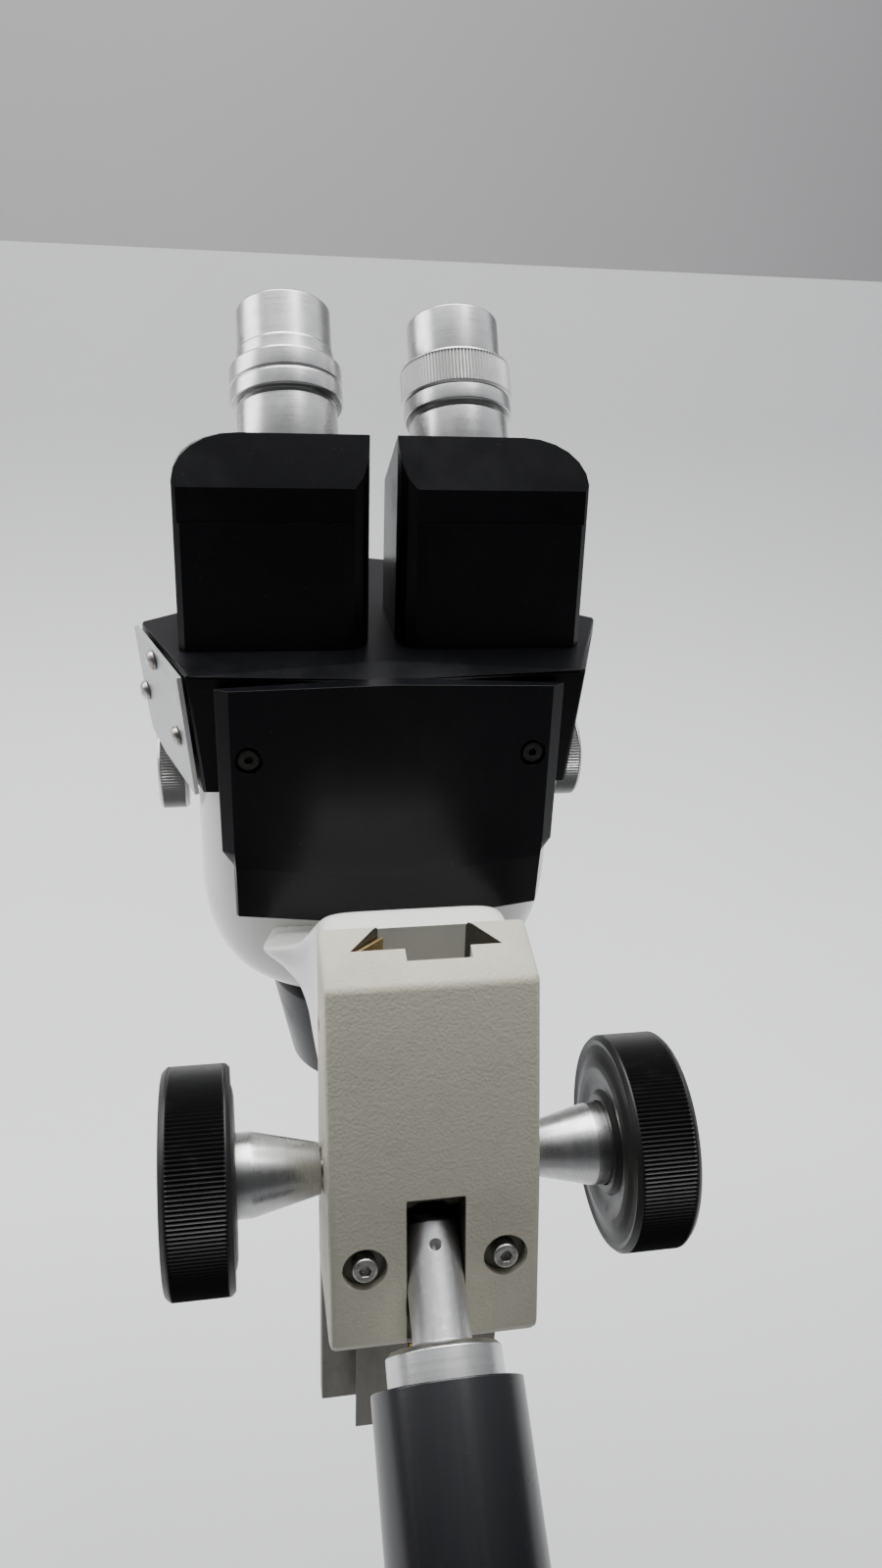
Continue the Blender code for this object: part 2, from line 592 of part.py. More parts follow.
def build_side_plate():
    """Grey cover plate on the right rear flank, held by three round-head screws."""
    frame, along, up, origin = flank_frame()

    def flat(x, y, z):
        point = Vector((x, y, z)) - origin
        return point.dot(along), point.dot(up)

    corners = [flat(-63.4, 89.4, 59.4), flat(-78.0, 128.6, 66.6), flat(-76.5, 128.6, 49.5),
               flat(-75.3, 128.4, 37.3), flat(-74.0, 127.8, 31.5), flat(-69.5, 116.9, 26.5),
               flat(-61.6, 95.7, 22.3), flat(-59.6, 90.6, 20.8)]
    plate = place("side_plate", prism(corners, 0.9, 2.4, "z"), PLATE_GREY, frame)
    for number, spot in enumerate((flat(-71.4, 111.8, 59.3), flat(-75.4, 125.4, 45.3),
                                   flat(-64.3, 98.5, 38.0)), 1):
        cut(plate, rod(1.5, 0, 4, 12), frame, (*spot, 0))
        head = turned([(0, 1.0), (1.2, 1.0), (1.2, 2.7), (3.3, 2.7), (3.1, 3.6), (2.2, 4.4),
                       (0, 4.8)], 20)
        place(f"side_screw_{number}", head, ALUMINIUM, frame, (*spot, 0))
    return plate


def build_objective():
    """Tapered black skirt under the pod and the two objective lenses it shields."""
    skirt = [(28.8, -98.3), (30.4, -98.3), (38.2, -63.5), (37.4, -60.3), (27.0, -60.3),
             (27.0, -63.0), (35.8, -64.6)]
    place("objective_skirt", turned(skirt, 40), BLACK_PAINT, block_frame, (0, OPTIC_Y, 0))
    carrier = place("objective_carrier", rod(25.7, -66, -52, 32, 0.6), DARK_STEEL, block_frame,
                    (0, OPTIC_Y, 0))
    for name, sign in SIDES.items():
        at = (sign * 11.5, OPTIC_Y, 0)
        steps = [(0, -70), (9.6, -70), (9.6, -56), (8.0, -56), (8.0, -50), (0, -50)]
        cut(carrier, turned(steps, 32), block_frame, at)
        lens = turned([(0, -63.5)] + arc(0, -45.0, 18.5, -90, -61, 4)[1:]
                      + [(9.2, -60.6), (9.2, -56.4), (0, -56.4)], 32)
        place(f"objective_lens_{name}", lens, GLASS, block_frame, at)


# ---------------------------------------------------------------- zoom

def build_zoom():
    """Cross shaft with a knurled knob on each end, and the lens carriage it drives."""
    place("zoom_shaft", rod(3.5, -70, 70, 20, 0.4), DARK_STEEL, zoom_frame, turn=ALONG_X)
    knob = ZOOM_KNOB_DIA / 2
    for name, sign in SIDES.items():
        inner, outer = ZOOM_KNOB_X, ZOOM_KNOB_X + 10.0
        outline = [(3.8, inner - 1.2), (6.0, inner - 1.2), (6.0, inner), (knob - 0.6, inner),
                   (knob, inner + 0.6), (knob, outer - 0.8), (knob - 0.8, outer), (3.8, outer)]
        place(f"zoom_knob_{name}", turned(outline), ALUMINIUM, zoom_frame,
              turn=(0, 90 * sign, 0))
    at = (0, OPTIC_Y, 0)
    carriage = place("zoom_carriage", block((-30, 30), (-14, 14), (-26, -18)), ALUMINIUM,
                     block_frame, at)
    for name, sign in SIDES.items():
        spot = (sign * 11.5, OPTIC_Y, 0)
        cut(carriage, rod(8.6, -30, -10, 20), block_frame, spot)
        cut(carriage, rod(2.3, -30, -10, 16), block_frame, (sign * 25.5, OPTIC_Y, 0))
        place(f"zoom_lens_{name}", rod(8.2, -24.5, -19.5, 20, 0.8), GLASS, block_frame, spot)
        place(f"guide_rod_{name}", rod(2.0, -51.5, 14, 16), ALUMINIUM, block_frame,
              (sign * 25.5, OPTIC_Y, 0))


# ---------------------------------------------------------------- eyepieces

def build_housing(name, sign):
    """Prism housing: a box with a slanted rear top, its prism and its eyepiece tube."""
    swivel = swivel_frame(sign)
    inner, outer = 4.4, 65.4
    near = HOUSING_Y - 0.8
    plan = ([(outer - 2.0, near), (outer, near + 2.0), (outer, 143.6)]
            + arc(outer - 8, 143.6, 8, 0, 90, 3)[1:]
            + arc(inner + 8, 143.6, 8, 90, 180, 3) + arc(inner + 9, near + 9, 9, 180, 270, 4))
    plan = [(sign * x, y) for x, y in plan]
    housing = place(f"prism_housing_{name}", prism(plan, 50, 150, "z"), BLACK_PAINT,
                    block_frame)
    tilt = Vector((0.0, sin(radians(EYE_TILT)), cos(radians(EYE_TILT))))
    across = Vector((0.0, tilt.z, -tilt.y))
    crease = Vector((0.0, HOUSING_Y, 113.9))
    edge = crease + tilt * 17.8
    front = edge + across * 43.0
    lift = GAP
    near = HOUSING_Y - 0.8
    side = [(near, deck_z(near) + lift), (near, crease.z - 10.6), (HOUSING_Y, crease.z - 10.6),
            (HOUSING_Y, crease.z), (edge.y, edge.z), (front.y, front.z),
            (front.y, deck_z(front.y) + lift)]
    cut(housing, prism(side, -90, 90), block_frame, operation="INTERSECT")
    curve = [(45.0 + 20.4 * cos(radians(a)), 115.6 + 13.8 * sin(radians(a)))
             for a in range(0, 91, 15)]
    brow = [(2.0, 50.0), (80.0, 50.0), (80.0, 115.6)] + curve + [(2.0, 129.4)]
    brow = [(sign * x, z) for x, z in brow]
    cut(housing, prism(brow, 60, 200, "y"), block_frame, operation="INTERSECT")
    cut(housing, rod(18.0, -9, 4, 32), swivel, operation="UNION")
    cavity = [(sign * 17, 113), (sign * 59, 113), (sign * 59, 146), (sign * 17, 146)]
    cut(housing, prism(cavity, deck_z(113) + 8, 104, "z"), block_frame)
    cut(housing, rod(13.5, -12, 14, 20), swivel)
    eye = eye_frames[name]
    cut(housing, rod(14.0, -20, 10, 32), eye)
    glass = [(113.3, 74.5), (145.7, 80), (145.7, 94), (128, 100), (113.3, 103.5)]
    place(f"prism_{name}", prism(glass, sign * 17.3, sign * 58.7), GLASS, block_frame)
    place(f"swivel_ring_{name}", tube(20.4, 18.3, -8.9, -6.6, 32), DARK_STEEL, swivel)
    return housing


def build_eyepieces():
    """Eyepiece tubes on the housings, the eyepieces in them and the dioptre ring."""
    for name in SIDES:
        eye = eye_frames[name]
        if name == "right":
            sleeve = [(13.9, -0.0 + GAP), (16.4, GAP), (16.4, 16.9), (13.9, 16.9)]
        else:
            sleeve = [(13.9, GAP), (16.4, GAP), (16.4, 13.5), (15.4, 13.5), (15.4, 14.8),
                      (17.7, 14.8), (18.0, 15.2), (18.0, 20.3), (13.9, 20.3)]
        place(f"eyepiece_tube_{name}", turned(sleeve, 40), ALUMINIUM, eye)
    right = [(12.0, 1.5), (13.6, 1.5), (13.6, 17.2), (15.8, 17.2), (15.8, 18.2), (18.0, 18.2),
             (18.4, 18.6), (18.4, 23.6), (18.0, 24.0), (18.0, 24.5), (18.4, 24.9), (18.4, 31.0),
             (17.9, 31.5), (15.9, 31.5), (15.9, 36.3), (15.5, 36.7), (15.5, 51.3), (14.8, 52.0),
             (12.2, 52.0), (11.0, 50.0), (11.0, 44.0), (12.0, 44.0)]
    place("eyepiece_right", turned(right, 40), ALUMINIUM, eye_frames["right"])
    left = [(12.0, 1.5), (13.6, 1.5), (13.6, 22.6), (15.4, 22.6), (15.4, 48.8), (14.7, 49.5),
            (12.2, 49.5), (11.0, 47.5), (11.0, 42.0), (12.0, 42.0)]
    place("eyepiece_left", turned(left, 40), ALUMINIUM, eye_frames["left"])
    ring = [(15.7, 20.6), (18.1, 20.6), (18.5, 21.0), (18.5, 32.2), (18.0, 32.7), (15.7, 32.7)]
    place("dioptre_ring", turned(ring, 40), ALUMINIUM, eye_frames["left"])
    for name, low in (("right", 45.0), ("left", 43.0)):
        lens = turned([(0, low), (10.7, low), (10.7, low + 2.2)]
                      + arc(0, low - 24.4, 28.5, 68.5, 90, 3)[1:-1] + [(0, low + 4.1)], 32)
        place(f"eye_lens_{name}", lens, GLASS, eye_frames[name])


eye_frames = {name: empty(f"eye_{name}", (sign * EYE_X, EYE_Y, EYE_Z), block_frame, -EYE_TILT)
              for name, sign in SIDES.items()}

build_arm()
build_block()
build_clamp()
build_block_details()
build_focus_shaft()
build_slide()
build_pod()
build_base()
build_cover()
build_side_plate()
build_objective()
build_zoom()
for side_name, side_sign in SIDES.items():
    build_housing(side_name, side_sign)
build_eyepieces()
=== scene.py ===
import json
from math import cos, radians, sin

import bmesh
import bpy
import numpy as np
from mathutils import Matrix, Vector


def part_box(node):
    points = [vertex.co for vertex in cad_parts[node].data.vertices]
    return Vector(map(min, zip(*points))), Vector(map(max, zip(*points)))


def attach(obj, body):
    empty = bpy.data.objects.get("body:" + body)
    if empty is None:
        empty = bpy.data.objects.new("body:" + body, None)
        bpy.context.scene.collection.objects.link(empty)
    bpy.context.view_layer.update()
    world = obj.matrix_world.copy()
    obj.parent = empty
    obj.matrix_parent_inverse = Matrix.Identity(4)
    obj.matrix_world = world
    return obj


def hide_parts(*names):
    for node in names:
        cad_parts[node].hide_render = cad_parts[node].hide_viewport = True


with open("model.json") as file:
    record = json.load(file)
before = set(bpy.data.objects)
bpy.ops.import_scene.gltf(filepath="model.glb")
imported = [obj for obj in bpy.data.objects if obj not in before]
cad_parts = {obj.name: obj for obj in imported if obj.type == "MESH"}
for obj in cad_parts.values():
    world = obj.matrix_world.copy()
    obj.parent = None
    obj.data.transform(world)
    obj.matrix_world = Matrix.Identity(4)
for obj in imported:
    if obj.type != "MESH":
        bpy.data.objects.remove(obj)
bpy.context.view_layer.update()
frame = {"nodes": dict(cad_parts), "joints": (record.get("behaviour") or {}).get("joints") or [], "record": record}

# ------------------------------------------------------------------ arm tube
# The horizontal arm of the stand ends in this length of drawn tube, hard anodised black.
# It slides over the bright pin's spigot; the far end is closed by a turned plug.

MM = 0.001
joint = {entry["name"]: entry for entry in frame["joints"]}
body_of = {node: body for body, nodes in frame["record"]["behaviour"]["bodies"].items()
           for node in nodes}


class Reading:
    """A shader value that can be written into sums: each operator adds one Math node."""

    def __init__(self, finish, socket):
        self.finish = finish
        self.socket = socket

    def maths(self, operation, first, second=0.0):
        return self.finish.node("ShaderNodeMath", {"operation": operation},
                                {0: first, 1: second})

    def __add__(self, other):
        return self.maths("ADD", self, other)

    def __radd__(self, other):
        return self.maths("ADD", other, self)

    def __sub__(self, other):
        return self.maths("SUBTRACT", self, other)

    def __rsub__(self, other):
        return self.maths("SUBTRACT", other, self)

    def __mul__(self, other):
        return self.maths("MULTIPLY", self, other)

    def __rmul__(self, other):
        return self.maths("MULTIPLY", other, self)

    def __lt__(self, other):
        return self.maths("LESS_THAN", self, other)

    def __gt__(self, other):
        return self.maths("GREATER_THAN", self, other)

    def __abs__(self):
        return self.maths("ABSOLUTE", self)


class Finish:
    """One surface finish: a node material built round a Principled shader."""

    def __init__(self, name, **constants):
        self.material = bpy.data.materials.new(name)
        self.material.use_nodes = True
        self.tree = self.material.node_tree
        self.shader = self.tree.nodes["Principled BSDF"]
        self.fill(self.shader, {key.replace("_", " "): value
                                for key, value in constants.items()})

    def fill(self, node, values):
        """Set or link each named socket of a node."""
        for key, value in values.items():
            if isinstance(value, Reading):
                self.tree.links.new(value.socket, node.inputs[key])
            else:
                node.inputs[key].default_value = value

    def node(self, kind, settings=None, values=None, output=0):
        """Add a node: its settings first, then the values or links of its sockets."""
        node = self.tree.nodes.new(kind)
        for key, value in (settings or {}).items():
            setattr(node, key, value)
        self.fill(node, values or {})
        return Reading(self, node.outputs[output])

    def where(self, scale, source="Object", turn=(0.0, 0.0, 0.0)):
        """Coordinates stretched by scale: Object in metres, or the piece's own UV map."""
        spot = self.node("ShaderNodeTexCoord", output=source)
        return self.node("ShaderNodeMapping", None,
                         {"Vector": spot, "Scale": scale, "Rotation": turn})

    def noise(self, where, detail=3.0, rough=0.55, warp=0.0):
        """Fractal noise of about one cycle per unit of its coordinates."""
        return self.node("ShaderNodeTexNoise", None, {"Vector": where, "Scale": 1.0,
                         "Detail": detail, "Roughness": rough, "Distortion": warp})

    def band(self, value, low, high):
        """0 below low, 1 above high, a straight ramp between."""
        return self.node("ShaderNodeMapRange", None,
                         {"Value": value, "From Min": low, "From Max": high})

    def mix(self, factor, first, second):
        """Blend two colours."""
        pair = {0: factor, 6: first, 7: second}
        return self.node("ShaderNodeMix", {"data_type": "RGBA"}, pair, 2)

    def axis(self, letter, source="Object"):
        """One coordinate of a point, in metres."""
        spot = self.node("ShaderNodeTexCoord", output=source)
        return self.node("ShaderNodeSeparateXYZ", None, {0: spot}, letter)

    def finish(self, height=None, depth=0.0, **varying):
        """Link what varies to the shader; height in 0..1 bumps it by depth mm."""
        values = {key.replace("_", " "): value for key, value in varying.items()}
        if height is not None:
            values["Normal"] = self.node("ShaderNodeBump", None,
                                         {"Height": height, "Distance": depth * MM})
        self.fill(self.shader, values)
        return self.material


def colour(red, green, blue):
    """An opaque linear colour."""
    return (red, green, blue, 1.0)


def eased(profile, radius, closed=False, steps=4):
    """Replace each corner of an outline by a short curve.

    The curve is the quadratic blend of the points radius before the corner, the corner and
    radius after it; it shortens where the sides are short."""
    points = np.asarray(profile, float)
    count = len(points)
    out = []
    for i in range(count):
        if not closed and i in (0, count - 1):
            out.append(points[i][None])
            continue
        corner, before, after = points[i], points[i - 1], points[(i + 1) % count]
        sides = [np.linalg.norm(before - corner), np.linalg.norm(after - corner)]
        reach = min(radius, 0.45 * sides[0], 0.45 * sides[1])
        start = corner + (before - corner) * reach / sides[0]
        end = corner + (after - corner) * reach / sides[1]
        t = np.linspace(0, 1, steps + 1)[:, None]
        out.append((1 - t) ** 2 * start + 2 * t * (1 - t) * corner + t ** 2 * end)
    points = np.concatenate(out)
    if closed:
        points = np.concatenate([points, points[:1]])
    return points


def surface(name, grid, material, run=None, wrap=True, sharp=32.0, caps=False):
    """A mesh of quads over a grid of points in mm, rows by columns.

    wrap joins the last column to the first. Coincident points, as at a pole, are merged. The UV
    map holds the share of the way round and the length along the rows in units of 10 mm."""
    rows, columns = grid.shape[:2]
    index = np.arange(rows * columns).reshape(rows, columns)
    beside = np.roll(index, -1, axis=1)
    quads = np.stack([index[:-1], beside[:-1], beside[1:], index[1:]], axis=-1)
    if run is None:
        steps = np.linalg.norm(np.diff(grid[:, 0], axis=0), axis=1)
        run = np.concatenate([[0.0], np.cumsum(steps)])
    across = np.arange(columns) / columns
    u = np.stack([across, across + 1 / columns, across + 1 / columns, across], axis=-1)
    v = np.stack([run[:-1], run[:-1], run[1:], run[1:]], axis=-1) / 10.0
    uv = np.stack([np.broadcast_to(u[None], quads.shape),
                   np.broadcast_to(v[:, None], quads.shape)], axis=-1)
    if not wrap:
        quads, uv = quads[:, :-1], uv[:, :-1]
    faces = quads.reshape(-1, 4).tolist()
    if caps:
        faces += [index[0][::-1].tolist(), index[-1].tolist()]
    mesh = bpy.data.meshes.new(name)
    mesh.from_pydata((grid.reshape(-1, 3) * MM).tolist(), [], faces)
    layer = mesh.uv_layers.new(name="UVMap")
    flat = np.zeros((len(layer.data), 2))
    flat[:uv.size // 2] = uv.reshape(-1, 2)
    layer.data.foreach_set("uv", flat.ravel())
    return finished(name, mesh, material, sharp)


def finished(name, mesh, material, sharp=32.0):
    """Merge doubles, face everything outwards, smooth it and make the object."""
    bm = bmesh.new()
    bm.from_mesh(mesh)
    bmesh.ops.remove_doubles(bm, verts=bm.verts, dist=1e-6)
    bmesh.ops.dissolve_degenerate(bm, edges=bm.edges, dist=1e-7)
    bmesh.ops.recalc_face_normals(bm, faces=bm.faces)
    bm.to_mesh(mesh)
    bm.free()
    mesh.shade_smooth()
    mesh.set_sharp_from_angle(angle=radians(sharp))
    mesh.materials.clear()
    mesh.materials.append(material)
    obj = bpy.data.objects.new(name, mesh)
    bpy.context.collection.objects.link(obj)
    return obj


def axis_at(origin, direction):
    """(origin in mm, matrix whose columns are two cross directions and the axis)."""
    along = Vector(direction).normalized()
    side = along.orthogonal().normalized()
    return np.array(origin, float), np.array((side, along.cross(side), along)).T


def turned(name, profile, material, axis, segments=128, ease=0.3, closed=True, ribs=0,
           rib_depth=0.0, ribbed=(0.0, 0.0)):
    """A profile of (radius, height) in mm turned about an axis.

    A point is origin + r (cos a, sin a) across + h along. Between the ribbed heights the rim's
    radius drops by rib_depth times half of 1 + cos(ribs a), which leaves straight ribs."""
    line = eased(profile, ease, closed)
    if ribs:
        segments = ribs * 4
        rim = line[:, 0].max() - 1e-3
    angle = np.arange(segments) * 2 * np.pi / segments
    radius = np.repeat(line[:, :1], segments, axis=1)
    height = np.repeat(line[:, 1:], segments, axis=1)
    if ribs:
        low, high = ribbed
        on_rim = (line[:, 0] > rim - 0.2) & (line[:, 1] >= low) & (line[:, 1] <= high)
        radius -= np.where(on_rim[:, None], rib_depth * (0.5 + 0.5 * np.cos(ribs * angle)), 0)
    origin, basis = axis
    local = np.stack([radius * np.cos(angle), radius * np.sin(angle), height], axis=-1)
    steps = np.linalg.norm(np.diff(line, axis=0), axis=1)
    run = np.concatenate([[0.0], np.cumsum(steps)])
    return surface(name, local @ basis.T + origin, material, run)


def stands_for(obj, *nodes):
    """obj rides on the body of these CAD nodes and is shown in their place."""
    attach(obj, body_of[nodes[0]])
    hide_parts(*nodes)
    return obj


pin_foot = np.array(joint["block_swivel"]["pos_m"]) / MM
pin_axis = axis_at(pin_foot, joint["block_swivel"]["axis"])

TUBE_RADIUS, TUBE_BORE = 20.2, 15.8
TUBE_FOOT, TUBE_TOP = -143.7, -13.1          # along the pin axis, from the pin's foot

anodised = Finish("black_anodised_tube", Metallic=0.0, Specular_IOR_Level=0.6)
streaks = anodised.noise(anodised.where((46.0, 0.16, 1.0), 2), 4.0, 0.6)
rings = anodised.noise(anodised.where((0.6, 26.0, 1.0), 2), 2.0)
rubbed = anodised.band(anodised.noise(anodised.where((9.0, 0.7, 1.0), 2), 5.0, 0.7), 0.60, 0.78)
anodised.finish(rings * 0.7 + streaks * 0.3, 0.012,
                Base_Color=anodised.mix(rubbed * 0.35, colour(0.0028, 0.0028, 0.0042),
                                        colour(0.016, 0.0165, 0.020)),
                Roughness=0.20 + streaks * 0.12 + rubbed * 0.10)

arm_tube = turned("arm_tube_anodised",
                  [(TUBE_BORE, TUBE_FOOT), (TUBE_RADIUS, TUBE_FOOT), (TUBE_RADIUS, TUBE_TOP),
                   (TUBE_BORE, TUBE_TOP)], anodised.material, pin_axis, 160, 0.5)
stands_for(arm_tube, "arm_tube")

# ------------------------------------------------------------------ pin and plug
# The mounting pin is one turned aluminium bar: a spigot inside the tube, a short bright collar
# and a 5/8 inch pin, scored along its length by years of clamping, with a cross hole near its
# tip. The plug at the far end is turned from the same bar.

PIN_RADIUS, PIN_TIP = 7.94, 28.0
COLLAR_RADIUS, COLLAR_TOP = 15.6, -4.0
HOLE_RADIUS, HOLE_HEIGHT, HOLE_DEPTH = 1.4, 20.5, 4.0


def lathe_marks(name, base, bright, roughness, spread=0.16, pitch=30.0, groove=0.010):
    """Turned metal: rings across the UV map's length, with stains that tint it."""
    metal = Finish(name, Metallic=1.0)
    fine = metal.noise(metal.where((0.5, pitch, 1.0), 2), 3.0, 0.7)
    wide = metal.noise(metal.where((0.35, 3.2, 1.0), 2), 2.0)
    stain = metal.noise(metal.where((160.0, 160.0, 160.0)), 4.0, 0.6)
    scratch = metal.band(metal.noise(metal.where((55.0, 2.2, 1.0), 2), 3.0, 0.75), 0.66, 0.74)
    worn = metal.band(stain, 0.45, 0.75)
    shade = metal.mix(fine * 0.35 + wide * 0.4, base, bright)
    shade = metal.mix(worn * 0.22, shade, colour(0.36, 0.34, 0.31))
    metal.finish(fine * 0.8 + scratch * 0.2, groove, Base_Color=shade,
                 Roughness=roughness + fine * spread + worn * 0.10)
    return metal


bright_turned = lathe_marks("bright_turned_aluminium", colour(0.46, 0.46, 0.45),
                            colour(0.84, 0.84, 0.83), 0.20)

scored = Finish("scored_aluminium_pin", Metallic=1.0)
pull = scored.noise(scored.where((42.0, 0.9, 1.0), 2), 6.0, 0.72)
gall = scored.band(scored.noise(scored.where((22.0, 3.5, 1.0), 2), 6.0, 0.8), 0.52, 0.66)
grime = scored.band(scored.noise(scored.where((120.0, 120.0, 120.0)), 4.0), 0.48, 0.68)
scored_shade = scored.mix(pull * 0.8, colour(0.46, 0.46, 0.45), colour(0.86, 0.86, 0.85))
scored_shade = scored.mix(gall * 0.35, scored_shade, colour(0.95, 0.95, 0.94))
scored.finish(pull * 0.6 + gall * 0.4, 0.03,
              Base_Color=scored.mix(grime * 0.28, scored_shade, colour(0.28, 0.26, 0.23)),
              Roughness=0.30 + pull * 0.20 + grime * 0.1)


def pierced(obj, axis, height, radius, depth):
    """Sink the points of a turned piece that lie within radius of a cross hole's mouth.

    A point's new distance from the axis is its old one less depth times a smooth step that is 1
    inside the hole and 0 outside it."""
    origin, basis = axis
    mesh = obj.data
    flat = np.empty(len(mesh.vertices) * 3)
    mesh.vertices.foreach_get("co", flat)
    local = (flat.reshape(-1, 3) / MM - origin) @ basis
    towards = np.array((0.0, -1.0, 0.0)) @ basis
    towards[2] = 0.0
    towards /= np.linalg.norm(towards)
    side = np.cross((0.0, 0.0, 1.0), towards)
    reach = np.hypot(local @ side, local[:, 2] - height)
    facing = local @ towards > 0
    step = np.clip((radius * 1.15 - reach) / (radius * 0.3), 0, 1) * facing
    spread = np.hypot(local[:, 0], local[:, 1])
    keep = 1 - depth * step / np.maximum(spread, 1e-6)
    local[:, :2] *= keep[:, None]
    mesh.vertices.foreach_set("co", ((local @ basis.T + origin) * MM).ravel())


def packed_rows(low, high, step):
    """Heights between two limits, about step apart."""
    return np.linspace(low, high, max(int((high - low) / step), 2))


hole_rows = [(PIN_RADIUS, h) for h in packed_rows(HOLE_HEIGHT - 2.2, HOLE_HEIGHT + 2.2, 0.22)]
pin = turned("mounting_pin_turned",
             [(0.0, -48.0), (COLLAR_RADIUS, -48.0), (COLLAR_RADIUS, COLLAR_TOP - 1.3),
              (COLLAR_RADIUS - 1.3, COLLAR_TOP), (PIN_RADIUS + 1.0, COLLAR_TOP),
              (PIN_RADIUS, COLLAR_TOP + 1.0)] + hole_rows
             + [(PIN_RADIUS, PIN_TIP - 1.2), (PIN_RADIUS - 1.2, PIN_TIP), (0.0, PIN_TIP)],
             scored.material, pin_axis, 240, 0.25, closed=False)
pierced(pin, pin_axis, HOLE_HEIGHT, HOLE_RADIUS, HOLE_DEPTH)
pin.data.materials.append(bright_turned.material)
collar_faces = [np.hypot(*((np.array(f.center) / MM - pin_foot) @ pin_axis[1])[:2])
                > PIN_RADIUS + 0.4 for f in pin.data.polygons]
pin.data.polygons.foreach_set("material_index", np.array(collar_faces, int))
stands_for(pin, "mounting_pin")

plug = turned("arm_end_plug_turned",
              [(0.0, -150.0), (TUBE_RADIUS - 1, -150.0), (TUBE_RADIUS, -149.0),
               (TUBE_RADIUS, -144.0), (TUBE_BORE - 0.4, -144.0), (TUBE_BORE - 0.4, -120.0),
               (0.0, -120.0)], bright_turned.material, pin_axis, 160, 0.4, closed=False)
stands_for(plug, "arm_end_plug")

# ------------------------------------------------------------------ focus block
# A zinc casting in cream wrinkle paint. The dovetail guide, the pin slot and the bores are
# machined after painting, so they are unpainted metal with old grease. Inside the guide and the
# slot that metal gets a very dark colour, which is partly grease and partly painted shade.


def softened(node, material, width, segments=3, angle=35.0, flat=1.0):
    """A CAD piece with its triangles joined into flat faces and its edges rounded.

    width is the rounding in mm, on edges sharper than angle."""
    source = frame["nodes"][node]
    mesh = source.data.copy()
    bm = bmesh.new()
    bm.from_mesh(mesh)
    bmesh.ops.remove_doubles(bm, verts=bm.verts, dist=4e-6)
    bmesh.ops.dissolve_limit(bm, angle_limit=radians(flat), verts=bm.verts, edges=bm.edges)
    bm.to_mesh(mesh)
    bm.free()
    obj = finished(f"{node}_finished", mesh, material, angle)
    edge = obj.modifiers.new("rounding", "BEVEL")
    edge.width = width * MM
    edge.segments = segments
    edge.limit_method = "ANGLE"
    edge.angle_limit = radians(angle)
    edge.harden_normals = True
    return stands_for(obj, node)


block_high = np.array(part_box("focus_block")[1]) / MM
GUIDE_FACE = block_high[1]
GUIDE_DEPTH, GUIDE_HALF = 8.8, 20.9
SLOT_HALF, SLOT_TOP = 8.15, block_high[2] - 65.4

wrinkle = Finish("cream_wrinkle_paint", Specular_IOR_Level=0.45)
pebble = wrinkle.node("ShaderNodeTexVoronoi", {"feature": "SMOOTH_F1"},
                      {"Vector": wrinkle.where((1150.0, 1150.0, 1150.0)), "Scale": 1.0,
                       "Smoothness": 0.7})
sag = wrinkle.noise(wrinkle.where((420.0, 420.0, 420.0)), 3.0)
grain = wrinkle.noise(wrinkle.where((2600.0, 2600.0, 2600.0)), 2.0)
smudge = wrinkle.noise(wrinkle.where((38.0, 38.0, 30.0)), 5.0, 0.62)
x, y, z = (wrinkle.axis(letter) for letter in range(3))
facing_up = wrinkle.node("ShaderNodeSeparateXYZ", None,
                         {0: wrinkle.node("ShaderNodeNewGeometry", output=1)}, 2)
# Masks for the recessed guide and slot: their near-black greasy metal colour is partly painted shade.
guide = ((y > (GUIDE_FACE - GUIDE_DEPTH) * MM) * (abs(x) < GUIDE_HALF * MM)
         * (facing_up < 0.5))
slot = (abs(x) < SLOT_HALF * MM) * (z < SLOT_TOP * MM)
bare_and_shaded = wrinkle.node("ShaderNodeMath", {"operation": "MAXIMUM"}, {0: guide, 1: slot})
dirty = wrinkle.band(smudge, 0.50, 0.72)
spots = wrinkle.band(wrinkle.noise(wrinkle.where((90.0, 90.0, 90.0)), 5.0, 0.7), 0.68, 0.76)
cream = wrinkle.mix(sag * 0.5, colour(0.500, 0.470, 0.375), colour(0.600, 0.570, 0.465))
cream = wrinkle.mix(dirty * 0.30, cream, colour(0.36, 0.33, 0.26))
cream = wrinkle.mix(spots * 0.55, cream, colour(0.20, 0.18, 0.13))
# Greased metal colour for the recesses, kept very dark as painted shade.
oiled_and_shaded = wrinkle.mix(grain, colour(0.060, 0.055, 0.045), colour(0.21, 0.20, 0.17))
wrinkle.finish((pebble * 0.65 + sag * 0.35) * (1 - bare_and_shaded) + grain * bare_and_shaded * 0.1, 0.16,
               Base_Color=wrinkle.mix(bare_and_shaded, cream, oiled_and_shaded), Metallic=bare_and_shaded * 0.8,
               Roughness=(0.50 + dirty * 0.12) * (1 - bare_and_shaded) + bare_and_shaded * 0.42)
softened("focus_block", wrinkle.material, 0.8, 3, 30.0)

# ------------------------------------------------------------------ clamp
# A steel yoke inside the block is drawn against the pin by two socket screws. They sit in
# counterbores on darkened washers, and their heads are polished by the key.

dull_steel = Finish("oiled_steel", Metallic=1.0)
tarnish = dull_steel.noise(dull_steel.where((140.0, 140.0, 60.0)), 5.0, 0.65)
milled = dull_steel.noise(dull_steel.where((900.0, 900.0, 60.0)), 3.0)
rust = dull_steel.band(dull_steel.noise(dull_steel.where((60.0, 60.0, 60.0)), 6.0, 0.7), 0.6, 0.72)
steel_shade = dull_steel.mix(tarnish, colour(0.080, 0.075, 0.065), colour(0.25, 0.24, 0.21))
dull_steel.finish(milled, 0.02,
                  Base_Color=dull_steel.mix(rust * 0.5, steel_shade, colour(0.12, 0.07, 0.035)),
                  Roughness=0.34 + tarnish * 0.22 + rust * 0.2)

